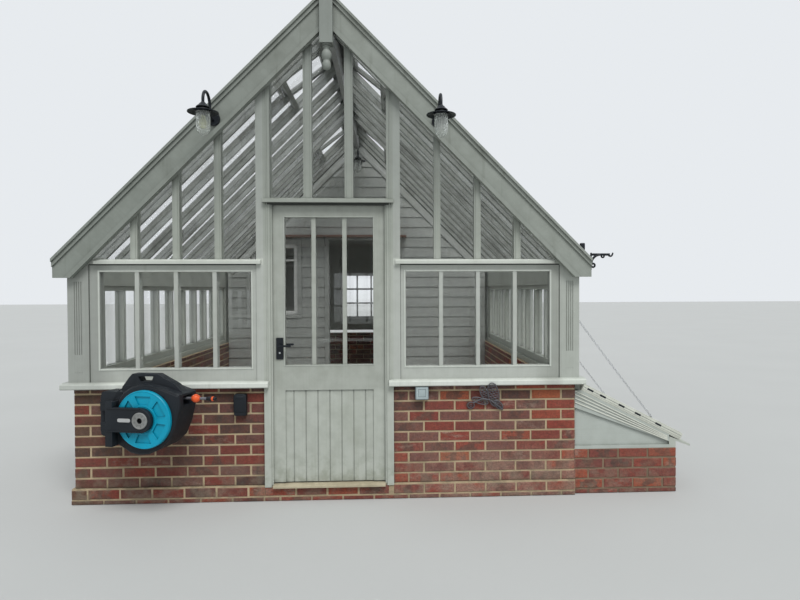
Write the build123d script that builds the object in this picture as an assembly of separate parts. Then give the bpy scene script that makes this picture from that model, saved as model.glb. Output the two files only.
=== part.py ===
from build123d import *
from math import atan, cos, degrees, radians, sin, tan
import os

os.makedirs("parts", exist_ok=True)

# A timber greenhouse on low brick walls, with a boarded potting shed behind it
# and a glazed cold frame along its right side.
# x runs across the front, y from the front to the back and z up from the ground.

# Plan of the building, in mm
half_width = 1824.0
glazed_length = 3660.0
shed_length = 1830.0
frame_depth = 95.0
seat_gap = 0.3

# Brick walls and floor
brick_inset = 27.0
brick_thickness = 103.0
brick_top = 822.0
plinth_height = 112.0
plinth_projection = 18.0
floor_thickness = 100.0

# Roof: the outer glass planes pass over the wall faces at eaves_height
pitch = 45.0
eaves_height = 1776.0
glass_thickness = 4.0
bays = 10
bar_width = 45.0
bar_depth = 75.0
bar_nose_width = 20.0
bar_nose_height = 8.0
bar_shoulder_depth = 30.0
bar_web_width = 28.0
ridge_thickness = 44.0
ridge_bottom_drop = 220.0
ridge_cap_reach = 95.0
ridge_cap_thickness = 16.0
ridge_roll_radius = 22.0
eaves_overhang = 24.0

# Sills and the front frames
sill_height = 46.0
sill_projection = 41.0
sill_slope_drop = 10.0
corner_post_width = 145.0
flute_count = 4
flute_width = 8.0
flute_pitch = 15.0
flute_depth = 5.0
flute_margin = 70.0
end_post_width = 50.0
door_post_width = 48.0
door_half_opening = 415.0
window_outer_stile = 73.0
window_inner_stile = 39.0
window_bar = 28.0
window_lights = 4
window_bottom_rail = 95.0
window_top_rail = 56.0
window_setback = 10.0
window_depth = 60.0
transom_bottom = 1704.0
transom_height = 33.0
transom_projection = 25.0
gable_bar_width = 48.0
gable_bar_depth = 60.0
gable_bar_count = 3
gable_light_share = 4.17
door_light_bar_place = 147.0
door_light_bar_width = 60.0

# Side frames
side_plate_height = 110.0
side_top_rail = 40.0
side_bottom_rail = 60.0
side_frame_depth = 70.0

# Bargeboards and finials
board_overhang = 76.0
board_thickness = 45.0
board_top = 12.0
board_bottom = -152.0
board_end_depth = 93.0
capping_thickness = 16.0
capping_projection = 25.0
bed_mould_height = 24.0
bed_mould_projection = 12.0
lower_mould_height = 30.0
lower_mould_projection = 10.0
finial_post_width = 92.0
finial_post_height = 356.0
finial_projection = 47.0
pendant_length = 134.0
pendant_radius = 36.5
finial_height = 400.0
finial_radius = 62.0

# Turned profiles, as shares of the radius and of the height
pendant_profile = (
    (0.76, 0.0), (0.82, 0.05), (0.82, 0.1), (0.5, 0.17), (0.55, 0.25), (0.8, 0.34), (0.94, 0.43),
    (1.0, 0.53), (0.95, 0.64), (0.78, 0.75), (0.55, 0.84), (0.3, 0.91), (0.14, 0.97), (0.0, 1.0),
)
finial_profile = (
    (0.94, 0.0), (1.0, 0.025), (1.0, 0.06), (0.93, 0.09), (0.6, 0.12), (0.48, 0.17), (0.48, 0.2),
    (0.62, 0.235), (0.84, 0.28), (0.96, 0.33), (0.98, 0.38), (0.9, 0.43), (0.74, 0.48), (0.5, 0.53),
    (0.33, 0.57), (0.36, 0.59), (0.44, 0.61), (0.36, 0.64), (0.22, 0.67), (0.13, 0.8), (0.1, 0.92), (0.0, 1.0),
)

# Roof vents, one near each end of both glazed slopes
vent_first_bars = (1, 7)
vent_bays = 2
vent_top = 130.0
vent_bottom = 620.0
vent_rail = 55.0
vent_thickness = 34.0
vent_opening_angle = 7.0
trimmer_width = 40.0

# Gutters
gutter_radius = 35.0
gutter_wall = 3.0
gutter_drop = 24.0

# Door
door_bottom = 128.0
door_top = 2134.0
door_gap = 3.0
door_stop_lap = 10.0
door_stop_depth = 26.0
door_thickness = 44.0
door_face_gap = 2.0
door_stile = 95.0
door_top_rail = 95.0
door_glass_bottom = 976.0
door_middle_rail = 182.0
door_bar_width = 30.0
door_bar_depth = 26.0
door_panel_depth = 26.0
door_board_pitch = 86.0
board_groove_width = 8.0
board_groove_depth = 5.0
door_head_height = 38.0
door_drip_height = 30.0
door_drip_projection = 30.0
door_drip_half_width = 465.0
door_sill_height = 20.0
door_sill_slope = 8.0
hinge_radius = 7.0
hinge_length = 100.0
hinge_places = (350.0, 1130.0, 1910.0)
hinge_offset = 8.0
hinge_share = 0.34
hinge_plate = 3.0

# Door handle
handle_x = -355.0
handle_z = 1117.0
plate_width = 50.0
plate_height = 155.0
plate_thickness = 8.0
plate_drop = 21.0
plate_corner = 4.0
spindle_radius = 6.0
neck_radius = 9.0
neck_length = 42.0
lever_length = 86.0
lever_height = 14.0
lever_thickness = 12.0
spindle_clearance = 0.5
keyhole_radius = 4.0
keyhole_drop = 50.0

# Partition and shed
doorway_left = -380.0
doorway_right = 380.0
doorway_top = 2180.0
shed_roof_thickness = 60.0
shed_wall_thickness = 95.0
shed_window_half_width = 375.0
shed_window_sill = 1035.0
shed_window_height = 755.0
shed_window_frame = 50.0
shed_window_bar = 25.0
shed_window_columns = 3
shed_window_rows = 3
partition_window_left = -1400.0
partition_window_right = -790.0
partition_window_bottom = 1190.0
partition_window_height = 930.0
partition_window_light = 150.0
shelf_roof_room = 83.0
shelf_right_share = 0.542
shelf_depth = 200.0
shelf_thickness = 25.0
shelf_lift = 20.0
shelf_bracket_height = 160.0
shelf_bracket_shares = (-0.932, -0.36, 0.36)
shelf_bracket_width = 25.0
shelf_bracket_thickness = 5.0

# Lamps on the bargeboards, and one on the partition
lamp_x = 790.0
lamp_plate_radius = 48.0
lamp_plate_thickness = 14.0
lamp_tube_radius = 10.0
lamp_reach = 230.0
lamp_rise = 138.0
lamp_lift = 3.0
shade_lift = 16.0
shade_radius = 100.0
shade_height = 38.0
shade_wall = 3.0
shade_neck_radius = 22.0
jar_radius = 45.0
jar_height = 165.0
jar_wall = 3.0
inner_lamp_x = 20.0
inner_lamp_drop = 413.0

# Boxes on the front wall
socket_left = 618.0
socket_width = 96.0
socket_height = 98.0
socket_depth = 58.0
key_safe_left = -674.0
key_safe_width = 86.0
key_safe_height = 154.0
key_safe_top = 776.0
key_safe_depth = 46.0
box_lid_depth = 8.0
box_fillet = 10.0

# Hanging basket bracket at the right eaves
bracket_reach = 160.0
bracket_bar = 10.0
bracket_plate_height = 90.0
bracket_plate_width = 30.0
bracket_plate_thickness = 5.0

# Hose reel that swivels on a wall bracket
reel_pivot_x = -1565.0
reel_pivot_stand_off = 60.0
reel_pin_radius = 9.0
reel_pin_top = 800.0
reel_pin_bottom = 500.0
reel_lug_width = 44.0
reel_lug_height = 26.0
reel_lug_places = (762.0, 530.0)
reel_turn = 12.5
reel_reach = 473.0
reel_z = 681.0
reel_back_gap = 20.0
reel_depth = 210.0
reel_edge = 12.0
reel_disc_radius = 190.0
reel_disc_thickness = 26.0
reel_pocket_count = 6
reel_pocket_inner = 96.0
reel_pocket_outer = 152.0
reel_pocket_inner_width = 70.0
reel_pocket_outer_width = 112.0
reel_pocket_depth = 9.0
reel_arm_radius = 79.0
reel_arm_gap = 4.0
reel_arm_thickness = 28.0
reel_hub_radius = 54.0
reel_hub_hole = 17.0
reel_hub_height = 8.0
reel_column_width = 50.0
reel_column_low = 505.0
reel_column_high = 795.0
reel_disc_room = 7.0
reel_cup_reach = 145.0
reel_cup_lows = (757.0, 556.0)
reel_cup_heights = (94.0, 75.0)
reel_cup_lengths = (155.0, 100.0)
reel_cup_depths = (90.0, 215.0)
reel_knuckle_height = 60.0
reel_pin_clearance = 0.3
reel_grip_depths = (92.0, 158.0)
reel_mouth_reach = 158.0
reel_mouth_low = 80.0
reel_mouth_high = 146.0
reel_mouth_depths = (70.0, 175.0)
hose_stub_z = 806.0
hose_stub_depth = 122.0
hose_stub_radius = 9.0
hose_stub_end = 912.0
stopper_reach = 768.0
stopper_radius = 28.0
coupling_radius = 15.0
coupling_length = 62.0

# Reel outlines as (to the right, up) from the middle of its disc
reel_outline = (
    (-232, -162), (-201, 109), (-161, 170), (-100, 208), (-40, 223), (31, 218), (120, 199), (237, 160),
    (239, 84), (207, -41), (169, -130), (103, -192), (20, -231), (-40, -239), (-112, -228), (-184, -187),
)
reel_grip_outline = (
    (-225, 165), (-213, 196), (-161, 262), (-140, 283), (38, 284), (74, 266), (170, 217), (222, 165),
    (60, 150), (-120, 150),
)
reel_grip_hole = ((-97, 266), (13, 268), (1, 235), (-82, 233))

# Cold frame along the right side
cold_frame_reach = 745.0
cold_frame_setback = 10.0
cold_frame_brick_top = 330.0
cold_frame_strip = 24.0
lid_slope = 27.0
lid_hinge_out = 48.0
lid_hinge_drop = 10.0
lid_count = 4
lid_length = 845.0
lid_thickness = 50.0
lid_gap = 6.0
lid_rail = 60.0
lid_low_rail = 130.0
lid_bar = 28.0
lid_lights = 3
lid_knuckle_radius = 6.0
lid_knuckle_length = 70.0
cheek_thickness = 20.0
raking_board_thickness = 35.0
raking_board_top_height = 125.0
raking_board_low_height = 49.0
low_rail_width = 50.0
drip_board_reach = 110.0
drip_board_thickness = 16.0
drip_board_slope = 20.4
hinge_rail_depth = 55.0
hinge_rail_height = 115.0
divider_width = 45.0
divider_depth = 50.0
chain_radius = 2.5
chain_hook_z = 1400.0
chain_bars = (1, 4, 6, 9)
chain_lid_place = 735.0
chain_standoff = 14.0

# Places worked out from the sizes above
front_y = -(glazed_length + shed_length) / 2
partition_y = front_y + glazed_length
back_y = partition_y + shed_length
brick_half = half_width - brick_inset
brick_inner = brick_half - brick_thickness
brick_front = front_y + brick_inset
brick_back = back_y - brick_inset
roof_apex = eaves_height + half_width * tan(radians(pitch))
board_half_span = half_width + board_overhang
finial_post_bottom = roof_apex - finial_post_height
finial_post_top = roof_apex + seat_gap
sill_top = brick_top + sill_height
sill_half = half_width + sill_projection
corner_inner = half_width - corner_post_width
door_post_outer = door_half_opening + door_post_width
end_post_outer = door_post_outer + end_post_width
bar_pitch = (glazed_length - bar_width) / bays
gable_light = (corner_inner - end_post_outer - gable_bar_count * gable_bar_width) / gable_light_share
gable_bar_places = [end_post_outer + gable_light + gable_bar_width / 2 + i * (gable_light + gable_bar_width)
                    for i in range(gable_bar_count)]
run = 1 / cos(radians(pitch))
rise = tan(radians(pitch))
sides = (-1, 1)


def block(x0, x1, y0, y1, z0, z1):
    """Box between two corners."""
    return Pos((x0 + x1) / 2, (y0 + y1) / 2, (z0 + z1) / 2) * Box(x1 - x0, y1 - y0, z1 - z0)


def prism_y(outline, y0, y1):
    """Outline of (x, z) points carried from y0 to y1."""
    face = make_face(Polyline(*[(x, y0, z) for x, z in outline], close=True))
    return extrude(face, amount=y1 - y0, dir=(0, 1, 0))


def prism_x(outline, x0, x1):
    """Outline of (y, z) points carried from x0 to x1."""
    face = make_face(Polyline(*[(x0, y, z) for y, z in outline], close=True))
    return extrude(face, amount=x1 - x0, dir=(1, 0, 0))


def rod(start, end, radius):
    """Round bar between two points."""
    axis = Vector(*end) - Vector(*start)
    return Plane(origin=start, z_dir=axis) * extrude(Circle(radius), amount=axis.length)


def roof_height(x, depth=0.0):
    """Height of the plane that lies this deep under the outer glass."""
    return roof_apex - abs(x) * rise - depth * run


roof_plane = Plane(
    origin=(0, 0, roof_apex),
    x_dir=(cos(radians(pitch)), 0, -sin(radians(pitch))),
    z_dir=(sin(radians(pitch)), 0, cos(radians(pitch))),
)


board_end_height = roof_height(board_half_span) - board_end_depth
lid_hinge_x = half_width + lid_hinge_out
lid_hinge_z = brick_top - lid_hinge_drop
shelf_bottom = doorway_top + shelf_lift
shelf_top = shelf_bottom + shelf_thickness
shelf_reach = (roof_height(0, glass_thickness + bar_depth) - shelf_top) / rise - shelf_roof_room
shelf_left = -shelf_reach
shelf_right = shelf_reach * shelf_right_share
shelf_bracket_places = [shelf_reach * share for share in shelf_bracket_shares]
lamp_z = roof_height(lamp_x, (board_top + board_bottom) / -2) + lamp_lift
inner_lamp_z = roof_apex - inner_lamp_drop
bracket_z = roof_height(board_half_span)
shed_window_left = -shed_window_half_width
shed_window_right = shed_window_half_width
shed_window_bottom = shed_window_sill
shed_window_top = shed_window_sill + shed_window_height


def on_right_slope(shape):
    """Shape drawn as (down the slope, y, outwards), set on the right slope."""
    return roof_plane.location * shape


def on_side(shape, side):
    """The shape on the right, or its mirror image on the left."""
    return shape if side > 0 else mirror(shape, about=Plane.YZ)


def joined(shapes):
    """One solid made of shapes that meet."""
    total = shapes[0]
    for shape in shapes[1:]:
        total = total + shape
    return total.clean()


def write(name, shapes):
    """Write one node, from one shape or a list of separate ones."""
    solids = [s for shape in shapes for s in shape.solids()] if isinstance(shapes, list) else shapes.solids()
    body = solids[0] if len(solids) == 1 else Compound(children=list(solids))
    body.label = name
    export_step(body, f"parts/{name}.step")


# Floor and brick walls

def brick_wall(x0, x1, y0, y1, plinth_x=(0, 0), plinth_y=(0, 0)):
    """Low wall with a base course that stands out on its open sides."""
    wall = block(x0, x1, y0, y1, 0, brick_top)
    base = block(x0 - plinth_x[0], x1 + plinth_x[1], y0 - plinth_y[0], y1 + plinth_y[1], 0, plinth_height)
    return wall + base


def make_masonry():
    inner_front = brick_front + brick_thickness
    inner_back = brick_back - brick_thickness
    out = plinth_projection
    write("floor", block(-brick_inner, brick_inner, inner_front, inner_back, 0, floor_thickness))
    front_walls = []
    side_walls = []
    for side in sides:
        low, high = sorted((side * door_post_outer, side * brick_half))
        plinth = (out, 0) if side < 0 else (0, 0)
        front_walls.append(brick_wall(low, high, brick_front, inner_front, plinth_x=plinth, plinth_y=(out, 0)))
        low, high = sorted((side * brick_inner, side * brick_half))
        side_walls.append(brick_wall(low, high, inner_front, inner_back, plinth_x=plinth))
    write("front_walls", front_walls)
    write("side_walls", side_walls)
    back = brick_wall(-brick_half, brick_half, inner_back, brick_back, plinth_x=(out, 0), plinth_y=(0, out))
    write("back_wall", back)
    step_front = brick_front - plinth_projection
    write("door_step", block(-door_post_outer, door_post_outer, step_front, inner_front, 0, floor_thickness))


# Sills and frames of the front

def sill_outline(face, depth, direction=1):
    """Sill section across a wall: face is the outer face, direction points inwards."""
    nose = face - direction * sill_projection
    return [
        (nose + direction * 6, brick_top),
        (nose, brick_top + 6),
        (nose, sill_top - sill_slope_drop - 4),
        (nose + direction * 4, sill_top - sill_slope_drop),
        (face, sill_top),
        (face + direction * depth, sill_top),
        (face + direction * depth, brick_top),
    ]


def fluted_post(x0, x1, z1):
    """Corner post, fluted on its front between the sill and the transom."""
    post = block(x0, x1, front_y, front_y + corner_post_width, sill_top, z1)
    middle = (x0 + x1) / 2
    low = sill_top + flute_margin
    high = transom_bottom - flute_margin
    for i in range(flute_count):
        x = middle + (i - (flute_count - 1) / 2) * flute_pitch
        flute = block(x - flute_width / 2, x + flute_width / 2, front_y, front_y + flute_depth, low, high)
        post = post - flute
    return post


def window_grid(x0, x1, z0, z1):
    """Clear lights of a front window as (left, right, bottom, top)."""
    width = (x1 - x0 - (window_lights - 1) * window_bar) / window_lights
    return [(x0 + i * (width + window_bar), x0 + i * (width + window_bar) + width, z0, z1)
            for i in range(window_lights)]


def front_window_lights(side):
    x0, x1 = sorted((side * (end_post_outer + window_inner_stile), side * (corner_inner - window_outer_stile)))
    return window_grid(x0, x1, sill_top + window_bottom_rail, transom_bottom - window_top_rail)


def make_front_frames():
    under_bar = glass_thickness + bar_depth
    frames = []
    for side in sides:
        x0, x1 = sorted((side * corner_inner, side * half_width))
        post = fluted_post(x0, x1, transom_bottom + transom_height)
        post_top = [
            (side * corner_inner, transom_bottom + transom_height),
            (side * half_width, transom_bottom + transom_height),
            (side * half_width, roof_height(half_width, under_bar)),
            (side * corner_inner, roof_height(corner_inner, under_bar)),
        ]
        if roof_height(half_width, under_bar) > transom_bottom + transom_height:
            post = post + prism_y(post_top, front_y, front_y + frame_depth)
        else:
            above = [
                (side * corner_inner, roof_height(corner_inner, under_bar)),
                (side * (half_width + 200), roof_height(half_width + 200, under_bar)),
                (side * (half_width + 200), roof_apex),
                (side * corner_inner, roof_apex),
            ]
            post = post - prism_y(above, front_y - 200, front_y + corner_post_width + 200)
        x0, x1 = sorted((side * door_post_outer, side * sill_half))
        sill = prism_x(sill_outline(front_y, frame_depth), x0, x1)
        nose_x0, nose_x1 = sorted((side * (door_half_opening + 15), side * door_post_outer))
        nose = prism_x(sill_outline(front_y, frame_depth), nose_x0, nose_x1)
        nose = nose & block(nose_x0, nose_x1, front_y - sill_projection, front_y, brick_top, sill_top)
        end_post = prism_y(
            [
                (side * door_post_outer, sill_top),
                (side * end_post_outer, sill_top),
                (side * end_post_outer, roof_height(end_post_outer, under_bar)),
                (side * door_post_outer, roof_height(door_post_outer, under_bar)),
            ],
            front_y,
            front_y + frame_depth,
        )
        x0, x1 = sorted((side * end_post_outer, side * corner_inner))
        face = front_y + window_setback
        panel = block(x0, x1, face, face + window_depth, sill_top, transom_bottom)
        for left, right, bottom, top in front_window_lights(side):
            panel = panel - block(left, right, face, face + window_depth, bottom, top)
        drip_x0, drip_x1 = sorted((side * (door_post_outer + 15), side * (corner_inner - 45)))
        drip = prism_x(
            [
                (front_y - transom_projection, transom_bottom),
                (front_y - transom_projection, transom_bottom + transom_height - 12),
                (front_y, transom_bottom + transom_height),
                (front_y, transom_bottom),
            ],
            drip_x0,
            drip_x1,
        )
        rail = block(x0, x1, front_y, front_y + window_setback + window_depth,
                     transom_bottom, transom_bottom + transom_height)
        frames.append(joined([post, sill, nose, end_post, panel, rail, drip]))
    write("front_frames", frames)


def gable_bar(x, width):
    """Upright glazing bar from the transom to the underside of the roof bars."""
    under_bar = glass_thickness + bar_depth
    foot = transom_bottom + transom_height + seat_gap
    if abs(x) < door_half_opening:
        foot = door_top + door_gap + door_head_height + seat_gap
    outline = [
        (x - width / 2, foot),
        (x + width / 2, foot),
        (x + width / 2, roof_height(x + width / 2, under_bar)),
        (x - width / 2, roof_height(x - width / 2, under_bar)),
    ]
    return prism_y(outline, front_y + window_setback, front_y + window_setback + gable_bar_depth)


def gable_lights():
    """Panes between the gable bars, as the (left, right, bottom) of each."""
    half = gable_bar_width / 2
    over_transom = transom_bottom + transom_height
    over_door = door_top + door_gap + door_head_height
    edges = [end_post_outer]
    for place in gable_bar_places:
        edges += [place - half, place + half]
    edges.append(half_width - gable_bar_width)
    outer = [(edges[i], edges[i + 1], over_transom) for i in range(0, len(edges), 2)]
    inner_bar = door_light_bar_place - door_light_bar_width / 2
    outer_bar = door_light_bar_place + door_light_bar_width / 2
    outer.append((outer_bar, door_half_opening, over_door))
    lights = []
    for left, right, bottom in outer:
        lights.append((left, right, bottom))
        lights.append((-right, -left, bottom))
    lights.append((-inner_bar, inner_bar, over_door))
    return lights


def make_gable_bars():
    bars = []
    for side in sides:
        bars += [gable_bar(side * place, gable_bar_width) for place in gable_bar_places]
        bars.append(gable_bar(side * door_light_bar_place, door_light_bar_width))
    write("gable_bars", bars)


def make_front_glass():
    under_bar = glass_thickness + bar_depth
    y0 = front_y + window_setback + (window_depth - glass_thickness) / 2
    y1 = y0 + glass_thickness
    panes = []
    for side in sides:
        for left, right, bottom, top in front_window_lights(side):
            panes.append(block(left + seat_gap, right - seat_gap, y0, y1, bottom + seat_gap, top - seat_gap))
    for left, right, bottom in gable_lights():
        a = left + seat_gap
        b = right - seat_gap
        foot = bottom + seat_gap
        if abs(a) > abs(b):
            a, b = b, a
        high = roof_height(a, under_bar) - seat_gap
        low = roof_height(b, under_bar) - seat_gap
        if a * b < 0:
            outline = [(a, foot), (b, foot), (b, low), (0, roof_height(0, under_bar) - seat_gap), (a, high)]
            pane = prism_y(outline, y0, y1) - block(-ridge_thickness, ridge_thickness, y0, y1,
                                                    roof_apex - ridge_bottom_drop - seat_gap, roof_apex)
        elif low > foot:
            pane = prism_y([(a, foot), (b, foot), (b, low), (a, high)], y0, y1)
        else:
            tip = a + (b - a) * (high - foot) / (high - low)
            pane = prism_y([(a, foot), (tip, foot), (a, high)], y0, y1)
        panes.append(pane)
    write("front_glass", panes)


# Door frame and door

def make_door_frame():
    under_bar = glass_thickness + bar_depth
    stop_inner = door_half_opening - door_gap - door_stop_lap
    pieces = []
    for side in sides:
        post = prism_y(
            [
                (side * door_half_opening, floor_thickness),
                (side * door_post_outer, floor_thickness),
                (side * door_post_outer, roof_height(door_post_outer, under_bar)),
                (side * door_half_opening, roof_height(door_half_opening, under_bar)),
            ],
            front_y,
            front_y + frame_depth,
        )
        x0, x1 = sorted((side * stop_inner, side * door_half_opening))
        stop = block(x0, x1, front_y + 8, front_y + door_stop_depth, floor_thickness, door_top + door_gap)
        pieces.append(joined([post, stop] + (frame_knuckles() if side > 0 else [])))
    inner = door_half_opening - seat_gap
    head_bottom = door_top + door_gap
    head = block(-inner, inner, front_y, front_y + frame_depth, head_bottom, head_bottom + door_head_height)
    stop_reach = stop_inner - seat_gap
    head_stop = block(-stop_reach, stop_reach, front_y + 8, front_y + door_stop_depth,
                      door_top - door_stop_lap, head_bottom)
    drip_bottom = head_bottom + 4
    drip = prism_x(
        [
            (front_y - door_drip_projection, drip_bottom),
            (front_y - door_drip_projection, drip_bottom + door_drip_height - 10),
            (front_y - seat_gap, drip_bottom + door_drip_height),
            (front_y - seat_gap, drip_bottom),
        ],
        -door_drip_half_width,
        door_drip_half_width,
    )
    drip_root = block(-inner, inner, front_y - seat_gap, front_y, drip_bottom, drip_bottom + door_drip_height)
    pieces.append(joined([head, head_stop, drip_root, drip]))
    sill_back = front_y + frame_depth
    sill = prism_x(
        [
            (front_y - 30, floor_thickness),
            (front_y - 30, floor_thickness + door_sill_height - door_sill_slope),
            (front_y + door_stop_depth, floor_thickness + door_sill_height),
            (sill_back, floor_thickness + door_sill_height),
            (sill_back, floor_thickness),
        ],
        -stop_reach,
        stop_reach,
    )
    pieces.append(sill)
    write("door_frame", pieces)


def door_faces():
    """Front and back of the door leaf."""
    front = front_y + door_stop_depth + door_face_gap
    return front, front + door_thickness


def hinge_pin():
    """Place of the door's hinge pins, as (x, y)."""
    return door_half_opening - hinge_offset, door_faces()[1] + hinge_radius


def frame_knuckles():
    """Upper and lower knuckles of each hinge, with the plates that hold them to the post."""
    x, y = hinge_pin()
    half = hinge_length / 2
    share = hinge_length * hinge_share
    knuckles = []
    for z in hinge_places:
        for z0 in (z - half, z + half - share):
            knuckles.append(rod((x, y, z0), (x, y, z0 + share), hinge_radius - 0.5))
            knuckles.append(block(x, door_half_opening + 1, y, y + hinge_plate, z0, z0 + share))
    return knuckles


def door_lights():
    """Clear lights of the door as (left, right, bottom, top)."""
    half = door_half_opening - door_gap - door_stile
    width = (2 * half - 2 * door_bar_width) / 3
    return [(-half + i * (width + door_bar_width), -half + i * (width + door_bar_width) + width,
             door_glass_bottom, door_top - door_top_rail) for i in range(3)]


def make_door():
    front, back = door_faces()
    half = door_half_opening - door_gap
    middle = (front + back) / 2
    panel_half = half - door_stile
    panel_top = door_glass_bottom - door_middle_rail
    leaf = block(-half, half, front, back, door_bottom, door_top)
    clear = block(-panel_half, panel_half, front, back, door_glass_bottom, door_top - door_top_rail)
    leaf = leaf - clear
    for x0, x1, z0, z1 in door_lights()[:-1]:
        bar = block(x1, x1 + door_bar_width, middle - door_bar_depth / 2, middle + door_bar_depth / 2, z0, z1)
        leaf = leaf + bar
    recess = (door_thickness - door_panel_depth) / 2
    for y0, y1 in ((front, front + recess), (back - recess, back)):
        leaf = leaf - block(-panel_half, panel_half, y0, y1, door_bottom, panel_top)
    grooves = int(2 * panel_half / door_board_pitch)
    for i in range(grooves):
        x = (i - (grooves - 1) / 2) * door_board_pitch
        for y0, y1 in ((front + recess, front + recess + board_groove_depth),
                       (back - recess - board_groove_depth, back - recess)):
            leaf = leaf - block(x - board_groove_width / 2, x + board_groove_width / 2, y0, y1,
                                door_bottom, panel_top)
    bore = rod((handle_x, front - 1, handle_z), (handle_x, back + 1, handle_z), spindle_radius + spindle_clearance)
    leaf = leaf - bore
    hinge_x, hinge_y = hinge_pin()
    knuckles = []
    for z in hinge_places:
        reach = hinge_length * (0.5 - hinge_share) - seat_gap
        knuckle = rod((hinge_x, hinge_y, z - reach), (hinge_x, hinge_y, z + reach), hinge_radius)
        flap = block(half - 34, hinge_x, back, back + hinge_plate, z - reach, z + reach)
        knuckles.append(knuckle + flap)
    write("door", joined([leaf] + knuckles))

    glass_y = middle - glass_thickness / 2
    panes = [block(x0 + seat_gap, x1 - seat_gap, glass_y, glass_y + glass_thickness, z0 + seat_gap, z1 - seat_gap)
             for x0, x1, z0, z1 in door_lights()]
    write("door_glass", panes)


def make_handle():
    front, back = door_faces()
    plates = []
    levers = []
    for face, out in ((front, -1), (back, 1)):
        outer = face + out * plate_thickness
        y0, y1 = sorted((face, outer))
        low = handle_z + plate_drop - plate_height / 2 - plate_drop
        plate = block(handle_x - plate_width / 2, handle_x + plate_width / 2, y0, y1,
                      handle_z - plate_height / 2 - plate_drop, handle_z + plate_height / 2 - plate_drop)
        plate = fillet(plate.edges().filter_by(Axis.Y), plate_corner)
        plate = plate - rod((handle_x, y0 - 1, handle_z), (handle_x, y1 + 1, handle_z),
                            neck_radius + spindle_clearance)
        keyhole_z = handle_z - keyhole_drop
        plate = plate - rod((handle_x, y0 - 1, keyhole_z), (handle_x, y1 + 1, keyhole_z), keyhole_radius)
        plates.append(plate)
        neck_end = outer + out * neck_length
        neck = rod((handle_x, face + out * 1, handle_z), (handle_x, neck_end, handle_z), neck_radius)
        y0, y1 = sorted((neck_end, neck_end - out * lever_thickness))
        grip = block(handle_x - lever_height / 2, handle_x + lever_length, y0, y1,
                     handle_z - lever_height / 2, handle_z + lever_height / 2)
        grip = fillet(grip.edges().filter_by(Axis.Y), lever_height / 2 - 1)
        levers += [neck, grip]
    spindle = rod((handle_x, front - 3, handle_z), (handle_x, back + 3, handle_z), spindle_radius)
    write("handle_plates", plates)
    write("door_handle", joined([spindle] + levers))


# Side frames and their glass

def bar_centre(i):
    return front_y + bar_width / 2 + i * bar_pitch


def side_plate_bottom():
    return roof_height(half_width, glass_thickness + bar_depth) - side_plate_height


def side_lights():
    """Clear lights of a side frame as (front, back, bottom, top)."""
    bottom = sill_top + side_bottom_rail
    top = side_plate_bottom() - side_top_rail
    lights = []
    for i in range(bays):
        y0 = bar_centre(i) + bar_width / 2
        y1 = bar_centre(i + 1) - bar_width / 2
        if i == 0:
            y0 = front_y + corner_post_width
        lights.append((y0, y1, bottom, top))
    return lights


def make_side_frames():
    under_bar = glass_thickness + bar_depth
    frames = []
    for side in sides:
        y0 = front_y + frame_depth
        y1 = back_y
        outline = [(side * x, z) for x, z in sill_outline(half_width, frame_depth, -1)]
        sill = prism_y(outline, y0, y1)
        post_y = front_y + corner_post_width
        inner = half_width - side_frame_depth
        x0, x1 = sorted((side * inner, side * half_width))
        panel = block(x0, x1, post_y, partition_y, sill_top, side_plate_bottom())
        for a, b, bottom, top in side_lights():
            panel = panel - block(x0, x1, a, b, bottom, top)
        plate_inner = half_width - frame_depth
        plate = prism_y(
            [
                (side * half_width, side_plate_bottom()),
                (side * half_width, roof_height(half_width, under_bar)),
                (side * plate_inner, roof_height(plate_inner, under_bar)),
                (side * plate_inner, side_plate_bottom()),
            ],
            post_y,
            back_y - shed_wall_thickness,
        )
        frames.append(joined([sill, panel, plate]))
    write("side_frames", frames)

    panes = []
    for side in sides:
        x0 = half_width - side_frame_depth / 2
        low, high = sorted((side * x0, side * (x0 + glass_thickness)))
        for a, b, bottom, top in side_lights():
            panes.append(block(low, high, a + seat_gap, b - seat_gap, bottom + seat_gap, top - seat_gap))
    write("side_glass", panes)


# Roof bars, glass, vents and ridge

def roof_bar(i, start=None):
    """Moulded glazing bar of the right slope with a rebate for the glass on each side."""
    y = bar_centre(i)
    nose = bar_nose_width / 2
    shoulder = bar_width / 2
    web = bar_web_width / 2
    seat = -glass_thickness
    bottom = seat - bar_depth
    outline = [
        (-nose, bar_nose_height),
        (nose, bar_nose_height),
        (nose, seat),
        (shoulder, seat),
        (shoulder, seat - bar_shoulder_depth),
        (web, seat - bar_shoulder_depth - 10),
        (web, bottom),
        (-web, bottom),
        (-web, seat - bar_shoulder_depth - 10),
        (-shoulder, seat - bar_shoulder_depth),
        (-shoulder, seat),
        (-nose, seat),
    ]
    long = 1.2 * half_width * run
    first = -2 * bar_depth if start is None else start
    bar = on_right_slope(prism_x([(y + v, w) for v, w in outline], first, long))
    reach = 2 * roof_apex
    y0 = y - bar_width
    y1 = y + bar_width
    bar = bar - block(half_width, half_width + reach, y0, y1, -reach, reach)
    if start is None:
        bar = bar - block(-reach, ridge_thickness / 2, y0, y1, -reach, reach)
    return bar


def vent_middle_bars():
    return [first + 1 for first in vent_first_bars]


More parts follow.
